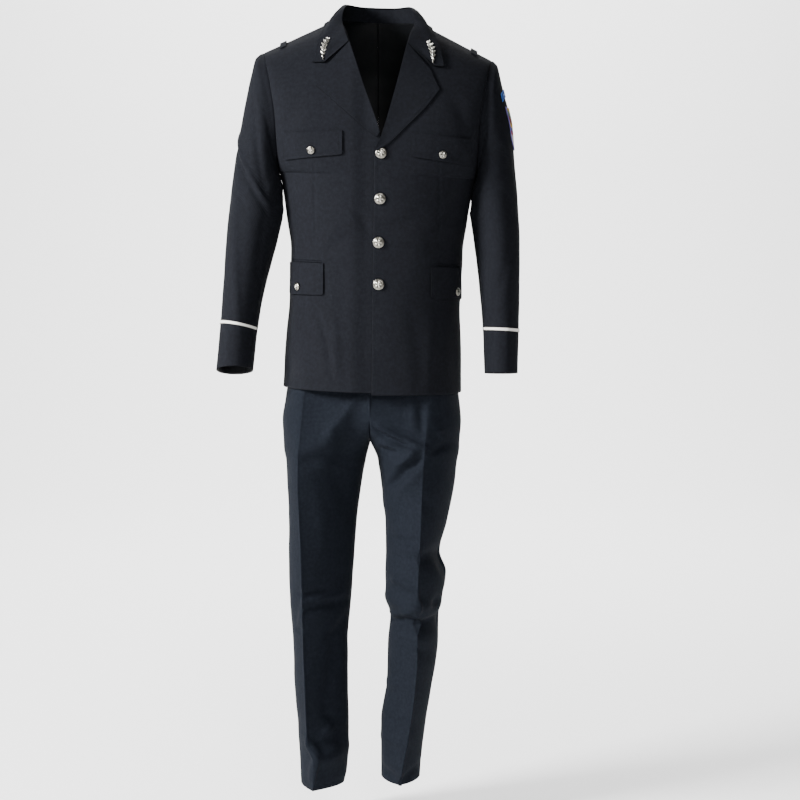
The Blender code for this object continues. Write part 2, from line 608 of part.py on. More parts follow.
def flap(kind, side):
    """A pocket flap on a front, with its lower edge standing a little off the cloth."""
    inner, outer, top_in, top_out, low_in, low_out = FLAPS[kind]
    if outer is None:
        z = -508 * MM
        outer_x = read(TORSO, "centre", z) + side * read(TORSO, "half", z)
        start = read(FRONT_EDGE, "left", z)
        outer = abs(start + (outer_x - start) * math.sin(HIP_FLAP_END * math.pi / 2) ** SQUARE) / MM
    u, v = np.broadcast_arrays(np.linspace(0, 1, 9)[None, :], np.linspace(0, 1, 4)[:, None])
    spread = np.sin(u * math.pi / 2)
    x = side * (inner + (outer - inner) * spread) * MM
    top = top_in + (top_out - top_in) * spread
    low = low_in + (low_out - low_in) * spread
    z = (top + (low - top) * v) * MM
    points, normals = front_at(side, x, z, JACKET_WALL + STIFF_LAY + FLAP_PROUD * v)
    return wall("%s_%s" % (kind, "left" if side > 0 else "right"), points, normals, JACKET_WALL, cloth)


def turned(name, place, normal, size, finish):
    """A domed button: a profile turned about its axis with a Screw modifier, then set on the cloth."""
    width, height = size
    profile = [(0, 1), (0.45, 0.93), (0.8, 0.66), (0.97, 0.38), (1, 0.24), (0.94, 0.1), (0.5, 0), (0, 0)]
    mesh = bpy.data.meshes.new(name)
    points = [(x * width / 2, 0, z * height) for x, z in profile]
    mesh.from_pydata(points, [(i, i + 1) for i in range(len(points) - 1)], [])
    obj = bpy.data.objects.new(name, mesh)
    screw = obj.modifiers.new("Turn", "SCREW")
    screw.axis = "Z"
    screw.steps = screw.render_steps = 16
    screw.use_merge_vertices = True
    screw.merge_threshold = 0.00001
    screw.use_normal_calculate = True
    mesh.materials.append(finish)
    suit.objects.link(obj)
    z_axis = unit(normal)
    x_axis = unit(np.cross([0, 0, 1], z_axis))
    y_axis = np.cross(z_axis, x_axis)
    obj.matrix_world = Matrix(np.vstack([np.column_stack([x_axis, y_axis, z_axis, place]), [0, 0, 0, 1]]).tolist())
    return obj


def buttons():
    """Four front buttons on the lapped edge, and one on each flap."""
    for number, (x, z) in enumerate(BUTTONS, 1):
        point, normal = front_at(1, x * MM, z * MM, 1.4 * LAY)
        turned("front_button_%d" % number, leaned(point), normal, BUTTON_SIZE, metal)
    for kind, (x, z) in FLAP_BUTTONS.items():
        for side in (1, -1):
            lift = JACKET_WALL + STIFF_LAY + FLAP_PROUD + LAY
            point, normal = front_at(side, side * x * MM, z * MM, lift)
            turned("%s_%s" % (kind, "left" if side > 0 else "right"), leaned(point), normal, SMALL_SIZE, metal)


def cuff_braid(side):
    """A narrow braid across the top sleeve, above the cuff, moved out from the sleeve's points."""
    half = BRAID_WIDTH / 2 / SLEEVE_LENGTH
    s = np.array([BRAID_AT[side] - half, BRAID_AT[side] + half])
    points, normals, _ = sleeve_grid(side, s, BACK_SEAM, FRONT_SEAM, BRAID_TILT[side])
    points = trimmed(points + normals * (LAY + TRIM), first_column=True, last_column=True, by=3 * MM)
    return wall("cuff_braid_%s" % ("left" if side > 0 else "right"), points, normals, TRIM, braid)


def sleeve_at(side, z, turn):
    """Points and normals of a sleeve's outer surface at given heights and turns, found by halving."""
    low, high = np.zeros_like(z), np.ones_like(z)
    for _ in range(24):
        s = (low + high) / 2
        above = sleeve_point(side, s, turn)[..., 2] > z
        low, high = np.where(above, s, low), np.where(above, high, s)
    points = sleeve_point(side, s, turn)
    d = 0.01
    down = sleeve_point(side, s + d, turn) - sleeve_point(side, s - d, turn)
    round_it = sleeve_point(side, s, turn + d) - sleeve_point(side, s, turn - d)
    return points, unit(np.cross(round_it, down)) * side


def sleeve_badge(name, finish):
    """The arched tab or the shield, centred on the outer line of the wearer's left sleeve."""
    top, low, half = BADGES[name]
    h, u = np.broadcast_arrays(np.linspace(0, 1, 9)[:, None], np.linspace(-1, 1, 9)[None, :])
    arched = name == "sleeve_tab"
    wide = 1 if arched else np.sqrt(np.clip(1 - (np.clip(h - 0.62, 0, 1) / 0.39) ** 2, 0, 1))
    turn = np.radians(half) * u * wide
    hang = TAB_ARCH * (1 - np.cos(turn)) / (1 - math.cos(math.radians(half))) if arched else 0
    points, normals = sleeve_at(1, (top + (low - top) * h) * MM - hang, turn)
    return wall(name, points + normals * (LAY + TRIM), normals, TRIM, finish)


def collar_leaf(side):
    """A metal leaf on the collar's end: five pairs of lobes either side of a raised midrib."""
    t = np.linspace(0, 1, 21)
    rib = np.stack([side * (98 + 10 * t) + 2, -33 - 44 * t], -1) * MM
    lobes = 0.8 + 0.2 * np.cos(2 * math.pi * (5 * t - 0.3))
    half = (8.2 * np.sin(math.pi * (0.04 + 0.92 * t) ** 0.8) ** 0.9 * lobes + 0.5) * MM
    u = np.array([-1, -0.5, 0, 0.5, 1])
    x = rib[:, :1] + half[:, None] * u[None, :]
    z = rib[:, 1:] + 0 * x
    a = np.linspace(0.55, 1, 40) * side
    spots, ways = collar_fall_grid(np.sort(a), np.linspace(0, 1, 40))
    spots, ways = spots.reshape(-1, 3), ways.reshape(-1, 3)
    near = np.argmin(np.hypot(spots[:, 0] - x[..., None], spots[:, 2] - z[..., None]), axis=-1)
    slope = ways[near]
    y = spots[near][..., 1] - (slope[..., 0] * (x - spots[near][..., 0])
                               + slope[..., 2] * (z - spots[near][..., 2])) / slope[..., 1]
    points = np.stack([x, y, z], -1)
    proud = (LAY + 1.0 * MM + 0.8 * MM * (1 - np.abs(u))[None, :] + 0 * x)[..., None]
    wall("collar_leaf_%s" % ("left" if side > 0 else "right"), points + slope * proud, slope,
         1.0 * MM, metal)


def bridle(side):
    """A cloth loop over the shoulder that would hold a shoulder board: flat ends, raised middle."""
    y = np.linspace(-22, 40, 9) * MM
    x = side * (np.array([186, 198]) - (5 if side < 0 else 0)) * MM
    surface = shoulder_surface(side)
    grid = np.stack([x[None, :] + 0 * y[:, None], y[:, None] + 0 * x[None, :],
                     -40 * MM + 0 * y[:, None] + 0 * x[None, :]], -1)
    spots, ways = surface
    near = np.argmin(np.hypot(spots[:, 0] - grid[..., :1], spots[:, 1] - grid[..., 1:2])
                     + 10 * (spots[:, 2] < -110 * MM), axis=-1)
    slope = ways[near]
    grid[..., 2] = spots[near][..., 2] - (slope[..., 0] * (grid[..., 0] - spots[near][..., 0])
                                         + slope[..., 1] * (grid[..., 1] - spots[near][..., 1])) / slope[..., 2]
    rise = 2.5 * MM * np.sin(math.pi * np.linspace(0, 1, len(y))) ** 0.6
    grid = grid + slope * (1.2 * MM + LAY + rise)[:, None, None]
    wall("shoulder_bridle_%s" % ("left" if side > 0 else "right"), grid, normals_of(grid, slope), 1.2 * MM, cloth)


def leg_heights(side):
    """Row heights of a leg: evenly eased up to the crotch, then close together round its curve."""
    hem = LEGS[side]["height"][0]
    low = hem + (CROTCH - hem) * np.array(LEG_HEIGHTS)
    return np.concatenate([low, np.array(RISE_HEIGHTS) * MM])


def leg_point(side, front, z, q):
    """Outer surface of a leg's front or back. q is 0 at the side seam, 1 on the crease and 2 at the inner edge.

    Each quarter is a curve between side and crease: X runs as a power of the cosine, which presses the
    crease, and Y as the sine. Above the crotch the inner edge follows the rise to the centre seam. Only the
    last part of the quarter bends to that edge, and the rest comes forward more slowly, over FULL_RISE.
    """
    rows = LEGS[side]
    part = "front" if front else "back"
    outer, inner = read(rows, "outer", z), read(rows, "inner", z)
    crease_x, crease_y = read(rows, part + "_x", z), read(rows, part + "_y", z)
    seam_y = read(rows, "side", z)
    inner_y = np.where(z < CROTCH, seam_y, read(RISE, part, z))
    full_y = read(RISE, part, np.maximum(z, FULL_RISE[1]))
    soft_y = seam_y + (full_y - seam_y) * step_up(z, *FULL_RISE)
    press = np.interp(z, [h * MM for h, _ in PRESS], [p for _, p in PRESS])
    press = press * (1 if front else 0.9)
    first = np.clip(q, 0, 1) * math.pi / 2
    second = np.clip(q - 1, 0, 1) * math.pi / 2
    x = np.where(q <= 1, crease_x + (outer - crease_x) * np.clip(np.cos(first), 0, 1) ** press,
                 crease_x + (inner - crease_x) * np.sin(second) ** press)
    y = np.where(q <= 1, seam_y + (crease_y - seam_y) * np.sin(first),
                 soft_y + (crease_y - soft_y) * np.cos(second) + (inner_y - soft_y) * np.clip(q - 1, 0, 1) ** 4)
    return np.stack(np.broadcast_arrays(x, y, z + 0 * q), -1)


def fold_lift(side, points):
    """Height of the largest folds at each point: ridges and troughs round short lines seen from the front."""
    lift = np.zeros(points.shape[:2])
    for leg, x0, z0, x1, z1, width, height in FOLDS:
        if leg != side:
            continue
        start, way = np.array([x0, z0]) * MM, np.array([x1 - x0, z1 - z0]) * MM
        seen = points[..., [0, 2]] - start
        t = np.sum(seen * way, -1) / np.dot(way, way)
        off = np.linalg.norm(seen - np.clip(t, 0, 1)[..., None] * way, axis=-1)
        lift += height * MM * np.exp(-(off / (width * MM)) ** 2)
    return lift


def trouser_panel(side, front):
    """A front or back of the trousers, hem to waist, with its pressed crease."""
    z = leg_heights(side)
    q = np.linspace(0, 2, 2 * LEG_COLUMNS + 1)
    points = leg_point(side, front, z[:, None], q[None, :])
    toward = points * [0, 1, 0] + [0, -0.02 if front else 0.02, 0]
    normals = normals_of(points, toward)
    if front:
        inside = np.sin(np.clip(q / 2, 0, 1) * math.pi)[None, :, None]
        points = points + normals * fold_lift(side, points)[..., None] * inside
        normals = normals_of(points, toward)
    normals[:, 0] = [side, 0, 0]
    above = (z > CROTCH + 0.5 * MM)[:, None]
    inseam = np.where((z < CROTCH - 0.5 * MM)[:, None], [-side, 0, 0], [-side * 0.5, 0, -1])
    normals[:, -1] = np.where(above, unit(normals[:, -1] * [0, 1, 1]), unit(inseam))
    points = trimmed(points, first_column=True, last_row=True)
    points[:, -1] += np.where(above, [0, 0, 0], [0, (-1 if front else 1) * SEAM / 2, 0])
    name = "trouser_%s_%s" % ("front" if front else "back", "left" if side > 0 else "right")
    return wall(name, points, normals, TROUSER_WALL, trouser_cloth, lean=False)


def waist_ring(turn):
    """Top edge of the trousers, all round from the centre front: the rows of the four panels joined."""
    part = (turn % (2 * math.pi)) / (math.pi / 2)
    left = part < 2
    q = np.where(left, part, 4 - part)
    front = q < 1
    along_q = np.where(front, 2 - 2 * q, 2 * (q - 1))
    top = TROUSER_TOP + 0 * part
    points = np.zeros(part.shape + (3,))
    for side in (1, -1):
        for face in (True, False):
            use = (left == (side > 0)) & (front == face)
            points[use] = leg_point(side, face, top, along_q)[use]
    return points


def waistband():
    """The waistband, a strip all round above the four panels that meets at the centre front."""
    turn = np.linspace(BAND_OPEN, 2 * math.pi - BAND_OPEN, 41)
    ring = waist_ring(turn)
    heights = np.array([TROUSER_TOP + SEAM / 2, BAND_TOP])
    points = np.stack([ring * [1, 1, 0] + [0, 0, h] for h in heights])
    normals = normals_of(points, points * [1, 1, 0] - [CENTRE, 0, 0])
    normals = unit(normals * [1, 1, 0])
    wall("waistband", points, normals, BAND_WALL, trouser_cloth, lean=False)
    x = CENTRE - WAIST_BUTTON_IN
    line = waist_ring(np.linspace(-0.6, 0, 80))
    under = np.abs(line[:, 0] - x) < WAIST_SIZE[0] / 2
    point = np.array([x, line[under, 1].min() - LAY, (TROUSER_TOP + BAND_TOP) / 2])
    turned("waist_button", point, np.array([0, -1, 0]), WAIST_SIZE, horn)


def fly():
    """The fly's top layer, a narrow strip on the centre seam, rounded off at its lower end."""
    width, length = FLY_SIZE
    t = np.linspace(0, 1, 9)
    z = TROUSER_TOP - 4 * MM - length * t
    wide = width * np.sqrt(np.clip(1 - (np.clip(t - 0.7, 0, 1) / 0.31) ** 2, 0.03, 1))
    x = CENTRE + 1 * MM + wide[:, None] * np.array([0, 0.5, 1])[None, :]
    q = np.linspace(2, 1, 60)
    y = []
    for wanted, height in zip(x, z):
        line = leg_point(1, True, height + 0 * q, q)
        y.append(np.interp(wanted, line[:, 0], line[:, 1]))
    points = np.stack([x, np.array(y), z[:, None] + 0 * x], -1) - [0, TROUSER_WALL + 1.5 * STIFF_LAY, 0]
    wall("fly", points, normals_of(points, np.array([0, -1, 0])), TROUSER_WALL, trouser_cloth, lean=False)


for old in list(bpy.data.objects):
    bpy.data.objects.remove(old)
suit = bpy.data.collections.new("service_uniform_suit")
bpy.context.scene.collection.children.link(suit)

cloth = material("jacket cloth", CLOTH, 0.85)
trouser_cloth = material("trouser cloth", TROUSER_CLOTH, 0.75)
metal = material("nickel", METAL, 0.35, 1.0)
braid = material("silver braid", BRAID, 0.7)
blue = material("blue tab", BLUE, 0.8)
shield = material("shield ground", SHIELD, 0.8)
horn = material("horn button", "#2a2622", 0.5)

for way in (1, -1):
    jacket_panel(way, True)
    jacket_panel(way, False)
    sleeve(way, True)
    sleeve(way, False)
    lapel(way)
    flap("chest_flap", way)
    flap("hip_flap", way)
    cuff_braid(way)
    collar_leaf(way)
    bridle(way)
    trouser_panel(way, True)
    trouser_panel(way, False)
collar()
buttons()
sleeve_badge("sleeve_tab", blue)
sleeve_badge("sleeve_shield", shield)
waistband()
fly()
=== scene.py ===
# Service uniform suit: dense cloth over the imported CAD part, in the same frame.
# Metres, +Z up, +X is the wearer's left and the front faces -Y. Tables are in millimetres and degrees.

import math

import bpy
import numpy as np
from mathutils import Matrix


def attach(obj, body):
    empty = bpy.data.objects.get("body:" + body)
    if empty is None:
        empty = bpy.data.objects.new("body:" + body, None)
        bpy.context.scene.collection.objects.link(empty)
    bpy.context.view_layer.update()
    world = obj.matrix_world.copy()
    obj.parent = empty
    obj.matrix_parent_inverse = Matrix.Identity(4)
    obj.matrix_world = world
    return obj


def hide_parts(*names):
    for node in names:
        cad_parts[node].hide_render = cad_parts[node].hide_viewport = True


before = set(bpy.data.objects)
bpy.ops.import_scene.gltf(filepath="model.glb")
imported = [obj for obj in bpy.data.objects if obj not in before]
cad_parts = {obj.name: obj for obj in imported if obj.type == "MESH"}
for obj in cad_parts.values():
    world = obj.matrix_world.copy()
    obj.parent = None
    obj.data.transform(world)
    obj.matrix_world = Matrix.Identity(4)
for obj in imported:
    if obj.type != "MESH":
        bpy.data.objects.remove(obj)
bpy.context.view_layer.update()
mm = 0.001
fine = 1.0
seamGap = 0.15 * mm      # from a piece's edge to the middle of its seam
hands = {1: "Left", -1: "Right"}      # the wearer's, by the sign of X
# A grid's edges, each with the line of points beside it
edgeLines = {"firstRow": (np.s_[0], np.s_[1]), "lastRow": (np.s_[-1], np.s_[-2]),
             "firstColumn": (np.s_[:, 0], np.s_[:, 1]), "lastColumn": (np.s_[:, -1], np.s_[:, -2])}


# Numbers and surfaces

def table(names, rows):
    # Columns of a short table, in metres, keyed by name
    return dict(zip(names.split(), np.array(rows, float).T * mm))


def cubic(t, step, values, slopes, i):
    # Cubic from knot i to the next, by the values and slopes at both
    return ((2 * t**3 - 3 * t**2 + 1) * values[i] + (t**3 - 2 * t**2 + t) * step * slopes[i]
            + (3 * t**2 - 2 * t**3) * values[i + 1] + (t**3 - t**2) * step * slopes[i + 1])


def smoothThrough(knots, values, at):
    # Cubic through the knots that never overshoots: inner slopes are harmonic means of the neighbours
    step = np.diff(knots)
    rise = np.diff(values) / step
    same = rise[:-1] * rise[1:] > 0
    total = np.where(same, rise[:-1] + rise[1:], 1)
    slopes = np.concatenate([rise[:1], np.where(same, 2 * rise[:-1] * rise[1:] / total, 0), rise[-1:]])
    at = np.asarray(at, float)
    i = np.clip(np.searchsorted(knots, at) - 1, 0, len(step) - 1)
    return cubic(np.clip((at - knots[i]) / step[i], 0, 1), step[i], values, slopes, i)


def freeThrough(knots, values, at):
    # Cubic through rows of points with central slopes, for surfaces known on a coarse grid
    i = np.clip(np.searchsorted(knots, at) - 1, 0, len(knots) - 2)
    step = knots[i + 1] - knots[i]
    shape = (-1,) + (1,) * (values.ndim - 1)
    t = ((at - knots[i]) / step).reshape(shape)
    return cubic(t, step.reshape(shape), values, np.gradient(values, knots, axis=0), i)


def readAt(rows, name, at):
    return smoothThrough(rows["height"], rows[name], at)


def alongRows(rows, name, t):
    return smoothThrough(np.linspace(0, 1, len(rows[name])), rows[name], t)


def stepUp(value, low, high):
    # 0 below low, 1 above high, with a smooth rise between them
    t = np.clip((value - low) / (high - low), 0, 1)
    return t * t * (3 - 2 * t)


def unit(vectors):
    return vectors / np.maximum(np.linalg.norm(vectors, axis=-1, keepdims=True), 1e-12)


def normalsOf(points, toward):
    # Normals of a grid, from its two gradients, turned to the side that toward points to
    normals = unit(np.cross(np.gradient(points, axis=0), np.gradient(points, axis=1)))
    return normals if np.mean(np.sum(normals * toward, axis=-1)) > 0 else -normals


def edged(count):
    # Even steps from 0 to 1 with three short ones at each end, so that edges and seams are crisp
    count = max(int(count * fine), 6)
    return np.concatenate([[0, 0.003, 0.007], np.linspace(0.013, 0.987, count), [0.993, 0.997, 1]])


def reaches(points):
    # Length along the surface from the first and last column and from the first and last row
    u = np.cumsum(np.linalg.norm(np.diff(points, axis=1, prepend=points[:, :1]), axis=-1), axis=1)
    v = np.cumsum(np.linalg.norm(np.diff(points, axis=0, prepend=points[:1]), axis=-1), axis=0)
    return u, u[:, -1:] - u, v, v[-1:] - v


def foldLift(across, up, folds):
    # Height of soft folds, each a bell curve round a bowed line: height * exp(-(side / width)^2 - (past / width)^2),
    # where past is the length beyond an end. It is lower towards its ends, and skew makes one flank steeper.
    # Columns: x0 z0 x1 z1, bow, width, height (a trough below 0), skew.
    lift = np.zeros(np.broadcast(across, up).shape)
    for row in folds:
        x0, z0, x1, z1, bow, width, height = np.array(row[:7]) * mm
        length = math.hypot(x1 - x0, z1 - z0)
        wayX, wayZ = (x1 - x0) / length, (z1 - z0) / length
        along = ((across - x0) * wayX + (up - z0) * wayZ) / length
        t = np.clip(along, 0, 1)
        side = (up - z0) * wayX - (across - x0) * wayZ - bow * 4 * t * (1 - t)
        wide = width * (1 + row[7] * np.tanh(side / width))
        past = (along - t) * length
        lift += height * np.exp(-(side / wide)**2 - (past / width)**2) * (1 - 0.6 * (2 * t - 1)**2)
    return lift


def slowWaves(x, z, height):
    # Unevenness of worn cloth: three sine waves of unlike length and direction, added up
    waves = np.sin(41 * x + 23 * z + 1.3) + 0.7 * np.sin(67 * x - 31 * z + 0.4) + 0.5 * np.sin(19 * x + 97 * z)
    return height * waves / 2.2


def seamSink(points, edges, depth=0.5 * mm, width=2.2 * mm):
    # The cloth turns down into its seams: depth * exp(-(distance / width)^2) along each named edge
    near = dict(zip(("firstColumn", "lastColumn", "firstRow", "lastRow"), reaches(points)))
    return -depth * sum(np.exp(-(near[name] / width)**2) for name in edges)


def trimmed(points, edges, by=seamGap):
    # Draws the named edges back along the surface, by the seam gap if nothing else is said
    points = points.copy()
    for edge, (here, inner) in edgeLines.items():
        if edge in edges:
            points[here] += unit(points[inner] - points[here]) * by
    return points


def blended(normals, distance, shared):
    # Near a seam the normals turn to the ones that the neighbour shares
    near = (1 - stepUp(distance, 0, jacket["seamBlend"]))[..., None]
    return unit(normals * (1 - near) + shared * near)


def relaxed(grid, passes, turned=False):
    # Averages each inner row with its neighbours, then the columns, again and again; turned keeps directions unit long
    for _ in range(passes):
        for lines in (grid, np.swapaxes(grid, 0, 1)):
            total = lines[:-2] + lines[1:-1] + lines[2:]
            lines[1:-1] = unit(total) if turned else total / 3
    return grid


# Meshes

def keep(name, points, faces, finishes, uv=None, inside=None, thread=None):
    # One finished mesh, smooth, at the origin
    mesh = bpy.data.meshes.new(name)
    mesh.from_pydata(points.tolist(), [], faces)
    mesh.shade_smooth()
    for finish in finishes:
        mesh.materials.append(finish)
    if uv is not None:
        corner = np.empty(len(mesh.loops), int)
        mesh.loops.foreach_get("vertex_index", corner)
        mesh.uv_layers.new(name="UVMap").data.foreach_set("uv", uv[corner].ravel())
    if inside is not None:
        mesh.polygons.foreach_set("material_index", inside)
    if thread is not None:
        layer = mesh.color_attributes.new("thread", "FLOAT_COLOR", "POINT")
        layer.data.foreach_set("color", thread.ravel())
    obj = bpy.data.objects.new(name, mesh)
    bpy.context.scene.collection.objects.link(obj)
    return obj


def shell(name, outer, normals, thick, finishes, free=tuple(edgeLines), leans=True, thread=None):
    # Thin cloth: the outer grid, the same grid moved in by thick, and a rim that rounds out, more on free edges. At a
    # seam it all but meets the next piece's rim, so no light comes through. Finishes: outside, inside and rim.
    rows, columns = outer.shape[:2]
    bulge = np.zeros((rows, columns, 1))
    away = np.zeros_like(outer)
    for edge, (here, inner) in edgeLines.items():
        away[here] += unit(outer[here] - outer[inner])
        bulge[here] = np.maximum(bulge[here], 0.3 * thick if edge in free else 0.14 * mm)
    index = np.arange(rows * columns).reshape(rows, columns)
    loop = np.concatenate([index[0, :-1], index[:-1, -1], index[-1, :0:-1], index[:0:-1, 0]])
    inside = outer - normals * thick
    middle = ((outer + inside) / 2 + unit(away) * bulge).reshape(-1, 3)[loop]
    points = np.concatenate([outer.reshape(-1, 3), inside.reshape(-1, 3), middle])
    if leans:
        points[:, 2] -= jacket["lean"] * points[:, 0]
    back, ring = index + rows * columns, np.arange(len(loop)) + 2 * rows * columns
    after, afterRing = np.roll(loop, -1), np.roll(ring, -1)
    front = np.stack([index[:-1, :-1], index[1:, :-1], index[1:, 1:], index[:-1, 1:]], -1).reshape(-1, 4)
    rear = np.stack([back[:-1, :-1], back[:-1, 1:], back[1:, 1:], back[1:, :-1]], -1).reshape(-1, 4)
    rims = np.concatenate([np.stack([loop, after, afterRing, ring], -1),
                           np.stack([ring, afterRing, after + rows * columns, loop + rows * columns], -1)])
    faces = np.concatenate([front, rear, rims])
    facing = np.cross(np.gradient(outer, axis=0), np.gradient(outer, axis=1))
    if np.sum(facing * normals) < 0:
        faces = faces[:, ::-1]
    slots = np.zeros(len(faces), int)
    slots[len(front):2 * len(front)] = min(len(finishes) - 1, 1)
    slots[2 * len(front):] = len(finishes) - 1
    u, _, v, _ = reaches(outer)
    uv = np.stack([u, v], -1).reshape(-1, 2)
    uv = np.concatenate([uv, uv, uv[loop]])
    if thread is not None:
        thread = thread.reshape(-1, 4)
        thread = np.concatenate([thread, thread, thread[loop]])
    return keep(name, points, faces.tolist(), finishes, uv, slots, thread)


def settle(obj):
    # The piece rides on the suit's one body and stands for the CAD node of its name, where jacketFrontLeft is
    # jacket_front_left and Cloth is left out.
    nodes = ["".join("_" + letter.lower() if letter.isupper() or letter.isdigit() else letter
                     for letter in obj.name.replace("Cloth", ""))]
    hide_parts(*nodes)
    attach(obj, "root")


# Materials

def linear(colour):
    # Linear colour of an sRGB hex value
    parts = [int(colour[i:i + 2], 16) / 255 for i in (1, 3, 5)]
    return [c / 12.92 if c < 0.04045 else ((c + 0.055) / 1.055)**2.4 for c in parts] + [1]


def addNode(tree, kind, values=None, links=None, **settings):
    node = tree.nodes.new(kind)
    for key, value in settings.items():
        setattr(node, key, value)
    for key, value in (values or {}).items():
        node.inputs[key].default_value = value
    for key, source in (links or {}).items():
        tree.links.new(source, node.inputs[key])
    return node


def plain(name, colour, rough, **values):
    made = bpy.data.materials.new(name)
    made.use_nodes = True
    shader = made.node_tree.nodes["Principled BSDF"]
    shader.inputs["Base Color"].default_value = linear(colour)
    shader.inputs["Roughness"].default_value = rough
    for key, value in values.items():
        shader.inputs[key.replace("_", " ")].default_value = value
    return made, made.node_tree, shader


def grain(tree, place, scale, detail=3):
    return addNode(tree, "ShaderNodeTexNoise", {"Scale": scale, "Detail": detail}, {"Vector": place}).outputs["Fac"]


def bumped(tree, shader, height, strength, distance=0.4 * mm, under=None):
    # Relief from a height, over an earlier relief if there is one
    links = {"Height": height, "Normal": under} if under else {"Height": height}
    bump = addNode(tree, "ShaderNodeBump", {"Strength": strength, "Distance": distance}, links)
    tree.links.new(bump.outputs["Normal"], shader.inputs["Normal"])
    return bump.outputs["Normal"]


def bands(tree, pitch, direction, **values):
    # Sine wave over the cloth's own lengths, one band every pitch
    cloth = addNode(tree, "ShaderNodeUVMap", uv_map="UVMap")
    values = {key.replace("_", " "): value for key, value in values.items()}
    wave = addNode(tree, "ShaderNodeTexWave", {"Scale": 2 * math.pi / (20 * pitch), **values},
                   {"Vector": cloth.outputs["UV"]}, wave_type="BANDS", bands_direction=direction)
    return wave.outputs["Fac"]


def mottled(tree, shader, colour, lighter, scale, share):
    # The colour wanders a little towards a lighter one with soft noise, as dyed cloth does
    place = addNode(tree, "ShaderNodeTexCoord").outputs["Object"]
    amount = addNode(tree, "ShaderNodeMapRange", {"From Min": 0.35, "From Max": 0.7, "To Min": 0.0, "To Max": share},
                     {"Value": grain(tree, place, scale, 4)})
    mix = addNode(tree, "ShaderNodeMix", {}, {0: amount.outputs["Result"]}, data_type="RGBA")
    mix.inputs[6].default_value = linear(colour)
    mix.inputs[7].default_value = linear(lighter)
    tree.links.new(mix.outputs[2], shader.inputs["Base Color"])
    return place


def threadColoured(tree, shader):
    # The mesh's thread attribute gives the colour
    colour = addNode(tree, "ShaderNodeAttribute", attribute_name="thread")
    tree.links.new(colour.outputs["Color"], shader.inputs["Base Color"])


def twill(name, colour, lighter, rough, gloss, ribStrength, rib=2.4 * mm):
    # Worsted wool twill, dyed, woven, milled and pressed. Its diagonal ribs are a sine wave of the sum of both
    # cloth lengths. Real ribs are 0.8 mm apart and are drawn coarser, rib apart. A fine nap lies over them.
    made, tree, shader = plain(name, colour, rough, IOR=1.5, Specular_IOR_Level=gloss)
    place = mottled(tree, shader, colour, lighter, 160, 0.5)
    ribs = bands(tree, rib / math.sqrt(2), "DIAGONAL", Distortion=0.8, Detail=1, Detail_Scale=2)
    under = bumped(tree, shader, ribs, ribStrength)
    bumped(tree, shader, grain(tree, place, 900), 0.25, 0.5 * mm, under)
    return made


def noisy(name, colour, lighter, rough, scale, strength, **values):
    # A plain finish with mottled colour and a fine noise bump
    made, tree, shader = plain(name, colour, rough, **values)
    place = mottled(tree, shader, colour, lighter, scale / 4, 0.6)
    bumped(tree, shader, grain(tree, place, scale), strength)
    return made


def metalWithPaintedShade(name, rough, strength):
    # Cast metal, plated and brushed: the thread attribute darkens its hollows with painted shade
    made, tree, shader = plain(name, "#b0ada4", rough, Metallic=1.0)
    threadColoured(tree, shader)
    place = addNode(tree, "ShaderNodeTexCoord").outputs["Object"]
    bumped(tree, shader, grain(tree, place, 1500), strength)
    return made


def satinStitch(name, rough, pitch, direction):
    # Embroidery in satin stitch, with raised threads a pitch apart
    made, tree, shader = plain(name, "#808080", rough, Specular_IOR_Level=0.15)
    threadColoured(tree, shader)
    bumped(tree, shader, bands(tree, pitch, direction, Distortion=0.6), 0.5, 0.3 * mm)
    return made


jacketCloth = twill("jacket twill", "#121317", "#191b20", 0.9, 0.05, 0.35)
trouserCloth = twill("trouser twill", "#12151b", "#1a1e24", 0.88, 0.04, 0.3)
lining = noisy("satin lining", "#090a0c", "#0d0f13", 0.5, 500, 0.1, Specular_IOR_Level=0.2)
nickel = metalWithPaintedShade("nickel", 0.28, 0.1)
silver = metalWithPaintedShade("silver leaf", 0.32, 0.12)
thread = noisy("sewing thread", "#0c0d11", "#121419", 0.85, 3000, 0.2, Specular_IOR_Level=0.1)
# Painted shade: a darker cloth on the rims of fronts, sleeves, collar, lapels and flaps, so that the rims don't catch
# the light
paintedRimShade = noisy("turned edge", "#08090b", "#0c0d10", 0.9, 900, 0.2, Specular_IOR_Level=0.04)
braidCloth = satinStitch("silver braid", 0.55, 1.6 * mm, "X")
tabCloth = satinStitch("blue tab", 0.7, 1.2 * mm, "Y")
shieldCloth = satinStitch("shield", 0.7, 1.2 * mm, "X")
horn = noisy("horn", "#2a2622", "#3a352f", 0.4, 300, 0.05)
print("materials", len(bpy.data.materials))


# Jacket body

jacket = {
    "wall": 2.2 * mm, "lean": 0.033, "hem": -728 * mm, "lapHem": -732 * mm, "armpit": -300 * mm,
    "shoulder": np.array([228, 8, -62]) * mm, "neck": np.array([84, 3, 8]) * mm, "neckBack": (76 * mm, 12 * mm),
    "armDepth": 74 * mm, "square": 0.87, "tuck": 4.5 * mm, "tuckOver": (-52 * mm, -18 * mm), "seamBlend": 10 * mm,
    "calm": (14 * mm, 20 * mm), "waves": 0.7 * mm, "probe": 1.5 * mm,      # calm: widths in which folds fade at seams
    "stiffLay": 1.0 * mm, "lay": 0.4 * mm, "rows": {True: 184, False: 140}, "columns": {True: 106, False: 48}}

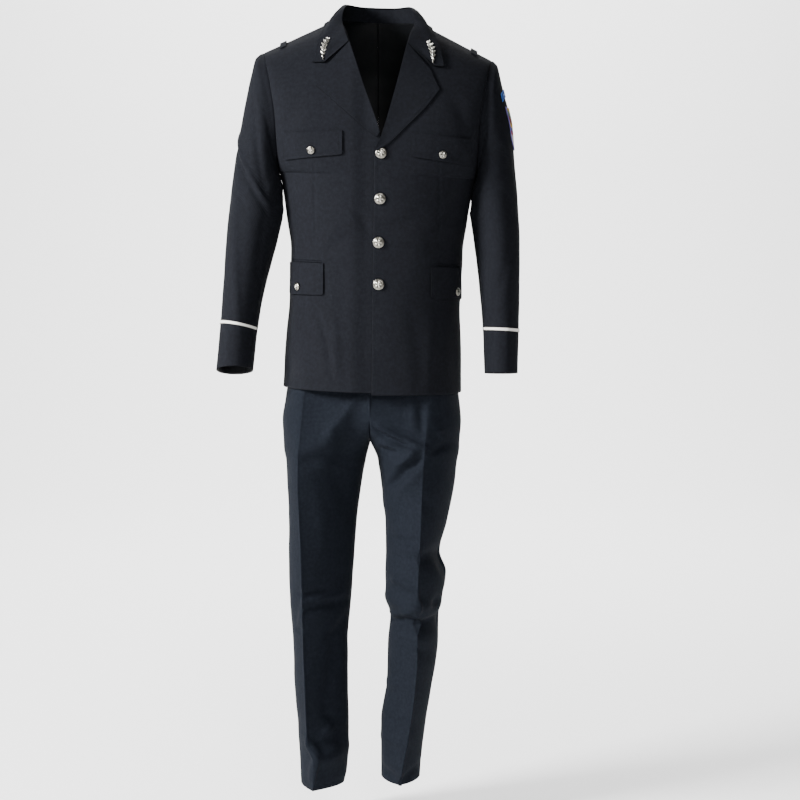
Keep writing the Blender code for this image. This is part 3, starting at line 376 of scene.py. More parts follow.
torso = table("height centre half side back", [
    (-728, -11, 180.5, 12, 132), (-640, -9, 178, 12, 130), (-549, -6, 172.5, 12, 115), (-448, -1.5, 173.5, 12, 101),
    (-387, -1.5, 182, 11, 106), (-345, -1, 188, 10, 115), (-320, 0, 192.5, 9, 121), (-300, 0, 196.5, 8, 125),
    (-200, 0, 200, 8, 130), (-110, 0, 214, 8, 121), (-50, 0, 228, 8, 102), (12, 0, 228, 8, 76)])
frontEdge = table("height left right depth", [
    (-732, -11, 2, -132), (-640, -10, 8, -130), (-540, -9, 12, -127), (-448, -8, 13, -123), (-350, -6, 14, -131),
    (-262, -5, 14, -136), (-228, 8, 8, -134), (-117, 40, -30, -104), (-42, 59, -54, -64), (-7, 70, -66, -32),
    (8, 84, -84, 3)])
armhole = table("height across", [(-300, 196.5), (-254, 199), (-188, 203), (-130, 212), (-88, 221), (-62, 228)])

# x0 z0 x1 z1 bow width height skew, seen from the front: the waist's pull to the second button, the drape beside
# the darts, and the skirt's slow fall
frontFolds = [
    (-41, -373, -14, -420, 3, 9, -1.8, 0), (-100, -452, -53, -422, 4, 11, -1.8, 0.2),
    (-118, -440, -50, -398, 4, 12, 1.2, 0), (10, -404, 120, -386, 5, 10, -2, 0), (30, -428, 140, -412, 4, 12, 1.2, 0),
    (104, -447, 165, -338, -6, 12, -3.2, 0.2), (120, -420, 176, -330, -4, 10, 2, 0),
    (-118, -568, -88, -697, 4, 7, -2.6, -0.3), (-85, -584, -81, -693, 2, 10, 2.4, 0),
    (-73, -428, -73, -700, 0, 16, -1.2, 0), (-183, -700, -161, -655, 3, 10, -2.5, 0),
    (-150, -640, -140, -728, 0, 14, 2.5, 0), (70, -560, 84, -720, 3, 14, -1.5, 0),
    (110, -580, 100, -724, 0, 12, 2, 0), (150, -600, 158, -724, 0, 12, -2, 0),
    (-150, -150, -178, -240, -6, 14, -2.2, 0), (150, -150, 178, -240, 6, 14, -2.2, 0),
    (-122.6, -275, -122.6, -447, 0, 2.4, -1.1, 0), (122.6, -275, 122.6, -447, 0, 2.4, -1.1, 0)]
backFolds = [
    (-60, -420, 60, -428, 8, 14, -2, 0), (40, -440, 150, -400, -6, 12, 2.2, 0),
    (-150, -404, -40, -446, 6, 12, 2.2, 0), (-130, -470, -20, -440, 5, 12, -1.8, 0),
    (20, -466, 132, -486, 4, 11, -1.8, 0), (-165, -200, -150, -330, 8, 16, -2.5, 0),
    (165, -200, 150, -330, -8, 16, -2.5, 0), (-120, -560, -112, -724, 4, 20, 2.5, 0),
    (60, -590, 70, -724, 3, 22, 2.2, 0), (120, -520, 126, -724, -5, 16, -2, 0), (-60, -110, 58, -118, 6, 16, -1.2, 0)]


def bodyRow(side, front, r):
    # Ends of a row of the body. r is 0 at the hem, 1 at the armpit and 2 on the shoulder. Above the armpit the outer
    # end climbs the armhole, half an ellipse, and both heights run as the cosine of the same turn.
    turn = math.pi * (2 - np.clip(r, 1, 2))
    low, lift = np.clip(r, 0, 1), (np.cos(turn) + 1) / 2
    armpit, shoulderZ = jacket["armpit"], jacket["shoulder"][2]
    top = jacket["neck"][2] if front else jacket["neckBack"][1]
    hem = jacket["lapHem"] if front and side > 0 else jacket["hem"]
    zIn = hem + (armpit - hem) * low + (top - armpit) * lift
    zOut = jacket["hem"] + (armpit - jacket["hem"]) * low + (shoulderZ - armpit) * lift
    yOut = readAt(torso, "side", zOut) + (-1 if front else 1) * jacket["armDepth"] * np.sin(turn)
    xOut = np.where(r <= 1, readAt(torso, "centre", zOut) + side * readAt(torso, "half", zOut),
                    side * readAt(armhole, "across", zOut))
    if front:
        inner = readAt(frontEdge, hands[side].lower(), zIn), readAt(frontEdge, "depth", zIn), zIn
    else:
        inner = readAt(torso, "centre", zIn), readAt(torso, "back", zIn), zIn
    return inner, (xOut, yOut, zOut), turn


def bodyPoint(side, front, r, v):
    # Outer surface of the body. v is 0 at the centre and 1 at the side seam or armhole. X runs as a power of the sine
    # and Y as the same power of the cosine of a quarter turn. The back's top rows bend over to neck and shoulder.
    (xIn, yIn, zIn), (xOut, yOut, zOut), turn = bodyRow(side, front, r)
    share = np.sin(v * math.pi / 2)**jacket["square"]
    x, z = xIn + (xOut - xIn) * share, zIn + (zOut - zIn) * share
    y = yOut + (yIn - yOut) * np.clip(np.cos(v * math.pi / 2), 0, 1)**jacket["square"]
    if front:
        y = y + (jacket["tuck"] * stepUp(x, *jacket["tuckOver"]) if side < 0 else 0)
    else:
        neck, shoulder, (deep, high) = jacket["neck"], jacket["shoulder"], jacket["neckBack"]
        bend = np.where((r > 1) & (turn < math.pi / 2), (1 - np.sin(turn))**2, 0)
        past = np.clip((np.abs(x) - neck[0]) / (shoulder[0] - neck[0]), 0, 1)
        ring = np.sqrt(np.clip(1 - (np.abs(x) / neck[0])**2, 0, 1))
        y = y + bend * (neck[1] + (deep - neck[1]) * ring + (shoulder[1] - neck[1]) * past - y)
        z = z + bend * (neck[2] + (high - neck[2]) * ring + (shoulder[2] - neck[2]) * past - z)
    return np.stack(np.broadcast_arrays(x, y, z), -1)


def bodyFold(front, points, normals):
    # Folds show where the cloth faces front or back, and fade on the sides
    x, z = points[..., 0], points[..., 2] - jacket["lean"] * points[..., 0]
    lift = foldLift(x, z, frontFolds if front else backFolds) * stepUp(np.abs(normals[..., 1]), 0.1, 0.5)
    return lift + slowWaves(x, z, jacket["waves"])


def frontAt(side, x, z, lift=0.0):
    # The point of a front seen at x and z, folds included, moved out by lift: its row is found by looking z up
    x, z = np.broadcast_arrays(np.asarray(x, float), np.asarray(z, float))
    rows = np.linspace(0, 2, 401)

    def depth(px, pz):
        (xIn, _, zIn), (xOut, _, zOut), _ = bodyRow(side, True, rows)
        height = zIn + (zOut - zIn) * np.clip((px[..., None] - xIn) / (xOut - xIn), 0, 1)
        k = np.clip(np.sum(height < pz[..., None], -1) - 1, 0, len(rows) - 2)
        below = np.take_along_axis(height, k[..., None], -1)[..., 0]
        above = np.take_along_axis(height, k[..., None] + 1, -1)[..., 0]
        r = rows[k] + (rows[1] - rows[0]) * np.clip((pz - below) / (above - below), 0, 1)
        (xIn, _, _), (xOut, _, _), _ = bodyRow(side, True, r)
        share = np.clip((px - xIn) / (xOut - xIn), 0, 1)
        return bodyPoint(side, True, r, np.arcsin(share**(1 / jacket["square"])) * 2 / math.pi)[..., 1]

    d = jacket["probe"]
    y = depth(x, z)
    slopeX = (depth(x + d, z) - depth(x - d, z)) / (2 * d)
    slopeZ = (depth(x, z + d) - depth(x, z - d)) / (2 * d)
    normal = unit(np.stack([slopeX, -np.ones_like(y), slopeZ], -1))
    points = np.stack([x, y, z], -1)
    return points + normal * (bodyFold(True, points, normal) + lift)[..., None], normal


def jacketPanel(side, front):
    # A front or back, hem to shoulder
    r = 2 * edged(jacket["rows"][front])
    v = edged(jacket["columns"][front])
    points = bodyPoint(side, front, r[:, None], v[None, :])
    normals = normalsOf(points, points * [1, 1, 0])
    fromFirst, toLast, _, toTop = reaches(points)
    turn = math.pi * (2 - np.clip(r, 1, 2))
    facing = -1 if front else 1
    seams = ("lastColumn", "lastRow") if front else ("firstColumn", "lastColumn", "lastRow")
    still = stepUp(toLast, 0, jacket["calm"][0]) * stepUp(toTop, 0, jacket["calm"][1])
    lift = bodyFold(front, points, normals) * still + seamSink(points, seams)
    points = points + normals * lift[..., None]
    ring = np.stack([0 * r, facing * np.sin(turn), np.cos(turn)], -1)
    shared = np.where((r < 1)[:, None], [side, 0, 0], ring)[:, None]
    normals = blended(normals, toLast, shared)
    neck, shoulder = jacket["neck"], jacket["shoulder"]
    top = unit(np.array([-side * (shoulder[2] - neck[2]), 0, shoulder[0] - neck[0]]))
    if not front:
        normals = blended(normals, fromFirst, normals * [0, 1, 1])
        inNeck = (np.abs(points[-1:, :, 0]) < neck[0] - mm)[..., None]
        top = np.where(inNeck, unit(points[-1:] * [1, 1, 0]), top)
        points[-1] += inNeck[0] * np.array([0, 0, -seamGap])
    normals = blended(normals, toTop, top)
    name = "jacket%s%s" % ("Front" if front else "Back", hands[side])
    return shell(name, trimmed(points, seams), normals, jacket["wall"], [jacketCloth, lining, paintedRimShade],
                 ("firstRow", "firstColumn") if front else ("firstRow",))


for side in hands:
    for front in (True, False):
        settle(jacketPanel(side, front))
print("jacket body")


# Sleeves

sleeveNames = "outer outerZ inner innerZ depth half frontUp"
sleeves = {
    1: table(sleeveNames, [
        (228, -62, 196.5, -300, 8, 74, 0), (239, -70, 197.5, -306, 7, 75, 0), (252, -120, 193.8, -322, 5, 77, 0),
        (269, -190, 188.8, -345, 3, 77, 0), (275, -262, 187.5, -378, 0, 75, 0), (282, -345, 194.5, -432, -5, 72, 0),
        (286, -430, 201, -480, -13, 68, 0), (285, -510, 206, -535, -24, 63, 0), (283, -590, 211, -600, -35, 58, 3),
        (281, -684, 214, -686, -48, 52, 5)]),
    -1: table(sleeveNames, [
        (228, -62, 196.5, -300, 8, 74, 0), (243, -72, 197.5, -306, 7, 75, 0), (256, -120, 194.2, -322, 5, 77, 0),
        (270, -190, 190.8, -345, 3, 77, 0), (284, -268, 190.5, -381, 0, 75, 0), (295, -350, 201, -434, -5, 72, 0),
        (304, -435, 215, -486, -13, 68, 0), (309, -520, 229, -545, -24, 63, 2), (314, -600, 240, -612, -36, 58, 8),
        (323, -698, 249, -695, -50, 52, 12)])}
sleeveLook = {"length": 650 * mm, "frontSeam": 160, "backSeam": -120, "rows": 150, "topColumns": 76, "underColumns": 22,
              "probe": 0.006, "waves": 0.5 * mm, "fullness": 0.7 * mm,
              "degree": 1.13}      # mm of cloth for each degree of turn

# degrees down degrees down bow width height skew: mm down the sleeve, turn 0 on the outer line and 90 in front
sleeveFolds = {
    -1: [(-10, 248, 120, 305, 4, 9, 3.5, 0.2), (-10, 262, 115, 322, 4, 9, -3.5, 0), (39, 300, 90, 575, 6, 16, 4, 0.2),
         (60, 150, 109, 285, 4, 14, -3, 0), (140, 150, 115, 300, 0, 8, 2.5, 0), (118, 330, 128, 470, 3, 9, -2.5, 0),
         (20, 330, 70, 352, 3, 8, -1.8, 0), (60, 590, 75, 650, 0, 12, 1.5, 0), (-30, 270, -110, 300, 5, 11, -2.6, 0),
         (-40, 330, -105, 318, 4, 10, 2, 0), (-60, 120, -90, 260, -4, 14, -2, 0), (-70, 400, -60, 560, 4, 14, 1.6, 0),
         (160, 264, 160, 294, 0, 16, 5, 0), (158, 62, 158, 262, 0, 15, 4.5, 0)],
    1: [(62, 215, 28, 290, 3, 9, 3, 0.2), (50, 235, 20, 310, 3, 9, -2, 0), (120, 250, 60, 330, 4, 10, -1.8, 0),
        (140, 300, 70, 350, 4, 10, 1.5, 0), (60, 420, 110, 520, 4, 14, -1.5, 0), (40, 470, 100, 440, 4, 12, 1.5, 0),
        (70, 560, 75, 650, 0, 12, 2, 0), (-30, 260, -110, 300, 5, 12, -2.4, 0), (-50, 320, -112, 340, 4, 11, 2, 0),
        (-80, 110, -95, 240, 4, 14, -1.8, 0), (-60, 420, -70, 600, 4, 15, -1.6, 0),
        (160, 264, 160, 294, 0, 16, 5, 0), (158, 62, 158, 262, 0, 15, 4.5, 0)]}


def sleevePoint(side, s, turn):
    # Outer surface. s is 0 at the armhole and 1 at the cuff. Each ring is an ellipse between the outer and inner
    # lines, the first ones take the armhole's bow, and the cuff rises in front.
    rows = sleeves[side]
    outer, inner, outerZ, innerZ = (alongRows(rows, name, s) for name in ("outer", "inner", "outerZ", "innerZ"))
    cos, sin = np.cos(turn), np.sin(turn)
    x = (outer + inner) / 2 + cos * (outer - inner) / 2
    z = (outerZ + innerZ) / 2 + cos * (outerZ - innerZ) / 2 + alongRows(rows, "frontUp", s) * sin
    y = alongRows(rows, "depth", s) - alongRows(rows, "half", s) * sin
    top, bottom, wide = jacket["shoulder"][2], jacket["armpit"], armhole["across"]
    bow = readAt(armhole, "across", (top + bottom) / 2 + cos * (top - bottom) / 2)
    bow = bow - (wide[-1] + wide[0]) / 2 - cos * (wide[-1] - wide[0]) / 2
    return np.stack(np.broadcast_arrays(side * (x + bow * np.clip(1 - s * 4, 0, 1)**2), y, z), -1)


def sleeveSurface(side, s, turn, lift=0.0):
    # Points and normals with folds: these count round the whole tube, so the turn is tried both ways. A ripple near
    # the head takes up the sleeve's fullness.
    s, turn = np.broadcast_arrays(np.asarray(s, float), np.asarray(turn, float))
    d = sleeveLook["probe"]
    down = sleevePoint(side, s + d, turn) - sleevePoint(side, s - d, turn)
    ahead = sleevePoint(side, s, turn + d) - sleevePoint(side, s, turn - d)
    normals = unit(np.cross(ahead, down)) * side
    length, degree = sleeveLook["length"], sleeveLook["degree"]
    folds = [(a * degree, b, c * degree, e) + tuple(rest) for a, b, c, e, *rest in sleeveFolds[side]]
    around = np.degrees(turn) * degree * mm
    fold = sum(foldLift(around + k * 360 * degree * mm, s * length, folds) for k in (-1, 0))
    fold = (fold * stepUp(s, 0.02, 0.08) * (1 - 0.5 * stepUp(s, 0.9, 1.0))
            + slowWaves(around, s * length, sleeveLook["waves"]) * stepUp(s, 0, 0.06))
    full = np.sin(np.degrees(turn) / 7.3 + 0.8) * np.exp(-((s - 0.04) / 0.03)**2) * np.clip(np.cos(turn), 0, 1)
    fold = fold + sleeveLook["fullness"] * full
    return sleevePoint(side, s, turn) + normals * (fold + lift)[..., None], normals


def sleeve(side, top):
    s = edged(sleeveLook["rows"])
    first, last = sleeveLook["backSeam"], sleeveLook["frontSeam"]
    if not top:
        first, last = last, first + 360
    turns = np.radians(first + (last - first) * edged(sleeveLook["topColumns" if top else "underColumns"]))
    points, normals = sleeveSurface(side, s[:, None], turns[None, :])
    points = points + normals * seamSink(points, ("firstColumn", "lastColumn", "firstRow"))[..., None]
    ring = np.stack([0 * turns, -np.sin(turns), np.cos(turns)], -1)[None]
    normals = blended(normals, (s * sleeveLook["length"])[:, None], ring)
    points = trimmed(points, ("firstRow", "firstColumn", "lastColumn"))
    return shell("sleeve%s%s" % ("Top" if top else "Under", hands[side]), points, normals, jacket["wall"],
                 [jacketCloth, lining, paintedRimShade], ("lastRow",))


for side in hands:
    for top in (True, False):
        settle(sleeve(side, top))
print("sleeves")


# Collar and lapels

collar = table("baseX baseY baseZ foldX foldY foldZ edgeX edgeY edgeZ", [
    (0, 76, 12, 0, 67, 42, 0, 93, -6), (33, 70, 12, 28, 63, 42, 40, 88, -7), (62, 52, 11, 48, 46, 42, 76, 70, -5),
    (78, 28, 9, 60, 20, 41, 96, 40, -5), (84, 3, 8, 68, -6, 31, 102, 5, -6), (78, -18, 0, 72, -24, 8, 112, -28, -22),
    (66, -44, -22, 65, -46, -20, 121, -52, -54), (57, -60, -42, 57, -62, -42, 128, -72, -87)])
collarLook = {"notch": (102 * mm, -91 * mm), "notchAt": 0.62, "standEnd": 0.67, "shift": 2 * mm, "clear": 3.2 * mm,
              "columns": 160, "rows": 20, "standColumns": 100, "standRows": 8, "lapelRows": 96, "lapelColumns": 34,
              "lapelNotch": 0.7, "notchGap": 0.6 * mm, "lift": 5 * mm, "waves": 0.35 * mm, "room": (1.8 * mm, 2.5 * mm),
              "overlap": 5 * mm, "curl": 2.5 * mm}
lapels = {
    1: table("rollZ edgeX edgeZ", [
        (-257, 1, -254), (-240, 21, -241.5), (-200, 58, -205), (-120, 93, -169), (-42, 122, -131)]),
    -1: table("rollZ edgeX edgeZ", [
        (-219, 0, -228), (-205, -22, -214), (-170, -52, -188), (-115, -85, -160), (-42, -119, -131)])}


def clearOf(points, surface, gap):
    # Moves points out of a surface, given as points and normals, until they stand gap above it
    spots, ways = surface
    flat = points.reshape(-1, 3).copy()
    for _ in range(3):
        near = np.argmin(np.linalg.norm(flat[:, None] - spots[None], axis=-1), axis=1)
        height = np.sum((flat - spots[near]) * ways[near], -1)
        flat += ways[near] * np.clip(gap - height, 0, None)[:, None]
    return flat.reshape(points.shape)


def shoulderSurface(side):
    # Points and normals of one half of the jacket's upper body
    spots, ways = [], []
    for front in (True, False):
        points = bodyPoint(side, front, np.linspace(1, 2, 60)[:, None], np.linspace(0, 1, 60)[None, :])
        spots.append(points.reshape(-1, 3))
        ways.append(normalsOf(points, points * [1, 1, 0] + [0, 0, 0.2]).reshape(-1, 3))
    return np.concatenate(spots), np.concatenate(ways)


def collarLine(name, a):
    # A line of the collar over a from -1, the wearer's right front, through 0, the back, to 1
    x, y, z = (alongRows(collar, name + axis, np.abs(a)) for axis in "XYZ")
    return np.stack([x * np.sign(a) + collarLook["shift"], y, z], -1)


def foldNormal(a):
    # The way out of the collar's fold, square to it
    fold = collarLine("fold", a)
    out = fold - (collarLine("base", a) + collarLine("edge", a)) / 2
    run = unit(np.gradient(fold, axis=0))
    return unit(out - run * np.sum(out * run, -1, keepdims=True))


def collarFallPoint(a, t):
    # The turned-down leaf: t is 0 on the fold and 1 on the outer edge. Each section is a quadratic curve, drawn out
    # level at the fold. Towards the ends they swing over to the bent line fold, notch, tip.
    a, t = np.broadcast_arrays(a, t)
    fold, edge = collarLine("fold", a), collarLine("edge", a)
    a, t = a[..., None], t[..., None]
    lift = np.array([0, 0, collarLook["lift"]]) * (1 - np.abs(a))**0.3
    knee = fold + (edge - fold) * [0.62, 0.62, 0.08] + lift
    soft = fold * (1 - t)**2 + 2 * t * (1 - t) * knee + edge * t**2
    at, (notchX, notchZ) = collarLook["notchAt"], collarLook["notch"]
    notchX = notchX * np.sign(a) + collarLook["shift"]
    first, second = t / at, (t - at) / (1 - at)
    x = np.where(t < at, fold[..., :1] + (notchX - fold[..., :1]) * first, notchX + (edge[..., :1] - notchX) * second)
    z = np.where(t < at, fold[..., 2:] + (notchZ - fold[..., 2:]) * first, notchZ + (edge[..., 2:] - notchZ) * second)
    end = np.concatenate([x, fold[..., 1:2] + (edge[..., 1:2] - fold[..., 1:2]) * t, z], -1)
    return soft + (end - soft) * stepUp(np.abs(a), 0.78, 1.0)**1.5


def collarPush():
    # How far the coarse collar moves to clear the body, on the solid's own grid of a and t
    a, t = np.linspace(-1, 1, 25), np.array([0, 0.12, 0.35, collarLook["notchAt"], 0.82, 1])
    raw = collarFallPoint(a[:, None], t[None, :])
    push = np.zeros_like(raw)
    for side in (1, -1):
        half = a * side >= 0
        cleared = clearOf(raw[half], shoulderSurface(side), jacket["wall"] + collarLook["clear"])
        moves = (np.abs(a[half]) > collarLook["standEnd"])[:, None] | (t > 0)[None, :]
        push[half] = (cleared - raw[half]) * moves[..., None]
    return a, t, push


pushAt = collarPush()


def collarSurface(a, t):
    # The collar on any sorted a and t: the formula plus the push, read smoothly between its coarse points
    knotsA, knotsT, push = pushAt
    push = freeThrough(knotsA, push, a)
    push = np.swapaxes(freeThrough(knotsT, np.swapaxes(push, 0, 1), t), 0, 1)
    points = collarFallPoint(a[:, None], t[None, :]) + push
    normals = normalsOf(points, points * [1, 1, 0] + [0, -0.02, 0.12])
    wave = slowWaves(3 * a[:, None], points[..., 2], collarLook["waves"]) * stepUp(t, 0.1, 0.4)[None, :]
    return points + normals * wave[..., None], normals


def collarPieces():
    a = 2 * edged(collarLook["columns"]) - 1
    t = edged(collarLook["rows"])
    points, normals = collarSurface(a, t)
    stood = stepUp(collarLook["standEnd"] + 0.1 - np.abs(a), 0, 0.04)[:, None, None]
    near = (1 - stepUp(t, 0, 0.1))[None, :, None] * stood
    normals = unit(normals * (1 - near) + foldNormal(a)[:, None] * near)
    edges = ("firstRow", "lastRow", "lastColumn")
    fall = shell("collarFall", trimmed(points, edges[:2]), normals, jacket["wall"], [jacketCloth, paintedRimShade], edges)
    b = (2 * edged(collarLook["standColumns"]) - 1) * (collarLook["standEnd"] + 0.001)
    base, fold = collarLine("base", b) + [0, 0, seamGap], collarLine("fold", b)
    least, more = collarLook["room"]
    room = jacket["wall"] + least + more * stepUp(np.abs(b), 0.35, 0.6)
    fold = fold - foldNormal(b) * room[:, None]
    stand = base[:, None] + (fold - base)[:, None] * edged(collarLook["standRows"])[None, :, None]
    standNormals = normalsOf(stand, unit(stand * [-1, -1, 0]))
    return fall, shell("collarStand", stand, standNormals, jacket["wall"], [jacketCloth], ("lastColumn",))


def lapelSurface(side, a, b, lift=0.0):
    # A lapel: a is 0 at the break and 1 at the top, b is 0 on the roll and 1 outside. Seen from the front it is ruled
    # between roll line and outer edge, its top bends at the notch, and it stands a little proud along the roll.
    rows, notch = lapels[side], collarLook["lapelNotch"]
    rollZ, edgeX, edgeZ = (alongRows(rows, name, a) for name in ("rollZ", "edgeX", "edgeZ"))
    rollX = readAt(frontEdge, hands[side].lower(), rollZ)
    x, z = rollX + (edgeX - rollX) * b, rollZ + (edgeZ - rollZ) * b
    bend = stepUp(a, 0.55, 1) * np.where(b < notch, b / notch, 1 - (b - notch) / (1 - notch))
    x = x + bend * (side * collarLook["notch"][0] + collarLook["shift"] - rollX - (edgeX - rollX) * notch)
    z = z + bend * (collarLook["notch"][1] - collarLook["notchGap"] - rollZ - (edgeZ - rollZ) * notch)
    overlap = collarLook["overlap"] * (1 - stepUp(a, 0.0, 0.3)) * (side > 0)
    proud = jacket["wall"] + jacket["stiffLay"] + collarLook["curl"] * (1 - b)**3 * stepUp(a, 0.0, 0.25) + overlap
    return frontAt(side, x, z, proud + lift)


def lapel(side):
    a, b = np.broadcast_arrays(edged(collarLook["lapelRows"])[:, None], edged(collarLook["lapelColumns"])[None, :])
    points, normals = lapelSurface(side, a, b)
    curl = (1 - stepUp(b, 0, 0.12))[..., None]
    normals = unit(normals + np.array([-side * 1.2, 0, 0]) * curl)
    return shell("lapel" + hands[side], trimmed(points, ("lastRow",)), normals, jacket["wall"],
                 [jacketCloth, paintedRimShade], ("lastColumn", "firstRow"))


for piece in (*collarPieces(), lapel(1), lapel(-1)):
    settle(piece)
print("collar")


# Pocket flaps

# Inner and outer side, top at both and bottom at both, in mm
flapLook = {"chest": (67, 182, -218, -225, -264, -276), "hip": (105, None, -477, -477, -539, -541), "hipEnd": 0.86,
            "hipMiddle": -508 * mm, "proud": 0.8 * mm, "round": 0.05, "rows": 26, "columns": 64}


def flapSurface(kind, side, u, v, lift=0.0):
    # A flap on a front: ruled from top to bottom, its lower corners slightly rounded and its lower edge standing off.
    # The hip flap's outer end is a share of the way round to the side seam.
    inner, outer, topIn, topOut, lowIn, lowOut = flapLook[kind]
    if outer is None:
        z = flapLook["hipMiddle"]
        across = readAt(torso, "centre", z) + side * readAt(torso, "half", z)
        start = readAt(frontEdge, "left", z)
        outer = abs(start + (across - start) * math.sin(flapLook["hipEnd"] * math.pi / 2)**jacket["square"]) / mm
    spread = np.sin(u * math.pi / 2)
    x = side * (inner + (outer - inner) * spread) * mm
    top, low = topIn + (topOut - topIn) * spread, lowIn + (lowOut - lowIn) * spread
    corner = np.exp(-spread / 0.02) + np.exp(-(1 - spread) / 0.02)
    z = (top + (low - top) * v * (1 - flapLook["round"] * corner * v)) * mm
    return frontAt(side, x, z, jacket["wall"] + jacket["stiffLay"] + flapLook["proud"] * v + lift)


def flap(kind, side):
    u, v = np.broadcast_arrays(edged(flapLook["columns"])[None, :], edged(flapLook["rows"])[:, None])
    points, normals = flapSurface(kind, side, u, v)
    return shell("%sFlap%s" % (kind, hands[side]), points, normals, jacket["wall"], [jacketCloth, paintedRimShade],
                 ("lastRow", "firstColumn", "lastColumn"))


for side in hands:
    for kind in ("chest", "hip"):
        settle(flap(kind, side))
print("flaps")


# Buttons: a domed disc with a rope edge and a plain relief of eight petals

buttonLook = {"front": (23 * mm, 5.4 * mm), "small": (16 * mm, 4.6 * mm), "waist": (15 * mm, 3 * mm),
              "frontAt": [(8, -258.5), (6, -347), (3, -432), (3, -514)], "chestAt": (127, -257), "hipAt": (155, -525)}


def frameAt(place, normal):
    # The turn that sets +Z on the normal, and the place as an array
    zAxis = unit(np.asarray(normal, float))
    xAxis = unit(np.cross([0, 0, 1], zAxis))
    return np.column_stack([xAxis, np.cross(zAxis, xAxis), zAxis]), np.asarray(place, float)


def between(low, high, share):
    # Colour from low to high by share, as an array for the thread attribute
    share = np.clip(share, 0, 1)[..., None]
    return np.array(linear(low)) * (1 - share) + np.array(linear(high)) * share


def button(name, place, normal, size, finish, relief):
    # Rings of points from the pole out: dome height over the radius, rope rim as a sine of the turn, petals within.
    # Hollows of the relief are darker and its raised parts lighter: painted shade and painted light.
    rings, around = int(30 * fine), 90 if relief else 48
    rho = np.concatenate([np.linspace(0.03, 1, rings), [1.0, 0.985, 0.94, 0.5, 0.03]])
    dome = smoothThrough(np.array([0, 0.45, 0.8, 0.97, 1.0]), np.array([1, 0.93, 0.66, 0.38, 0.24]), rho[:rings])
    height = np.concatenate([dome, [0.16, 0.1, 0.05, 0.0, 0.0]])
    turn = np.linspace(0, 2 * math.pi, around, endpoint=False)
    r, q = rho[:, None], turn[None, :]
    rope = 0.11 * np.exp(-((r - 0.88) / 0.06)**2) * (0.55 + 0.45 * np.sin(30 * q + 16 * r))
    bead = 0.07 * np.exp(-((r - 0.72) / 0.03)**2)
    petal = 0.2 * np.exp(-((r - 0.38) / 0.17)**2) * np.clip(np.cos(5 * q + 0.4), 0, 1)**0.6
    petal = petal + 0.16 * np.exp(-(r / 0.13)**2)
    top = (np.arange(len(rho)) < rings)[:, None]
    form = np.where(top, relief * (rope + bead + petal), 0)
    z = (height[:, None] + form) * size[1]
    # Painted shade on the plain field, rim sides and hollows, painted light on the raised relief
    shade = between("#4c4942", "#c9c6bc", 0.12 + 7 * form) if relief else between("#2a2622", "#2a2622", form)
    shade = np.concatenate([shade.reshape(-1, 4), np.repeat(shade[:1, 0], 2, axis=0)])
    local = np.stack([r * np.cos(q) * size[0] / 2, r * np.sin(q) * size[0] / 2, z + 0 * q], -1).reshape(-1, 3)
    local = np.concatenate([local, [[0, 0, z[0].mean()], [0, 0, 0]]])
    turnTo, at = frameAt(place, normal)
    points = local @ turnTo.T + at
    index = np.arange(len(rho) * around).reshape(len(rho), around)
    after = np.roll(index, -1, axis=1)
    quads = np.stack([index[:-1], index[1:], after[1:], after[:-1]], -1).reshape(-1, 4)
    pole, foot = len(local) - 2, len(local) - 1
    caps = [(pole, a, b) for a, b in zip(index[0].tolist(), after[0].tolist())]
    caps += [(foot, b, a) for a, b in zip(index[-1].tolist(), after[-1].tolist())]
    return keep(name, points, quads.tolist() + caps, [finish], thread=shade)


def leaned(points):
    # The jacket's slant, as shell gives it to cloth: down by lean for each unit of X
    out = np.array(points, float)
    out[..., 2] -= jacket["lean"] * out[..., 0]
    return out


for number, (x, z) in enumerate(buttonLook["frontAt"], 1):
    point, normal = frontAt(1, x * mm, z * mm, 1.4 * jacket["lay"])
    settle(button("frontButton%d" % number, leaned(point), normal, buttonLook["front"], nickel, 1))
for kind in ("chest", "hip"):
    for side in hands:
        x, z = buttonLook[kind + "At"]
        lift = jacket["wall"] + jacket["stiffLay"] + flapLook["proud"] + jacket["lay"]
        point, normal = frontAt(side, side * x * mm, z * mm, lift)
        name = kind + "Button" + hands[side]
        settle(button(name, leaned(point), normal, buttonLook["small"], nickel, 1))
print("buttons")


# Trim on the sleeves

trimLook = {"thick": 1.2 * mm, "braidWidth": 5 * mm, "braidAt": 0.893, "braidTilt": {1: 0.0075, -1: 0},
            "braidEnd": 3 * mm, "cord": 0.22 * mm, "arch": 12 * mm, "border": {"Tab": 1.6 * mm, "Shield": 1.5 * mm},
            "word": (0.12, 0.72), "relief": {"Tab": 0.25 * mm, "Shield": 0.2 * mm},
            "ridge": (0.5 * mm, 1.3 * mm, 0.9 * mm)}      # height, distance from the edge, width
badges = {"Tab": (-119, -134, 36), "Shield": (-156, -239, 31)}      # top and bottom, and degrees either way


def threads(values, stops):
    # Colour of each point from a table of value limits and hex colours: the first limit that the value is under
    out = np.zeros(values.shape + (4,))
    out[:] = linear(stops[-1][1])
    for limit, colour in reversed(stops[:-1]):
        out[values < limit] = linear(colour)
    return out


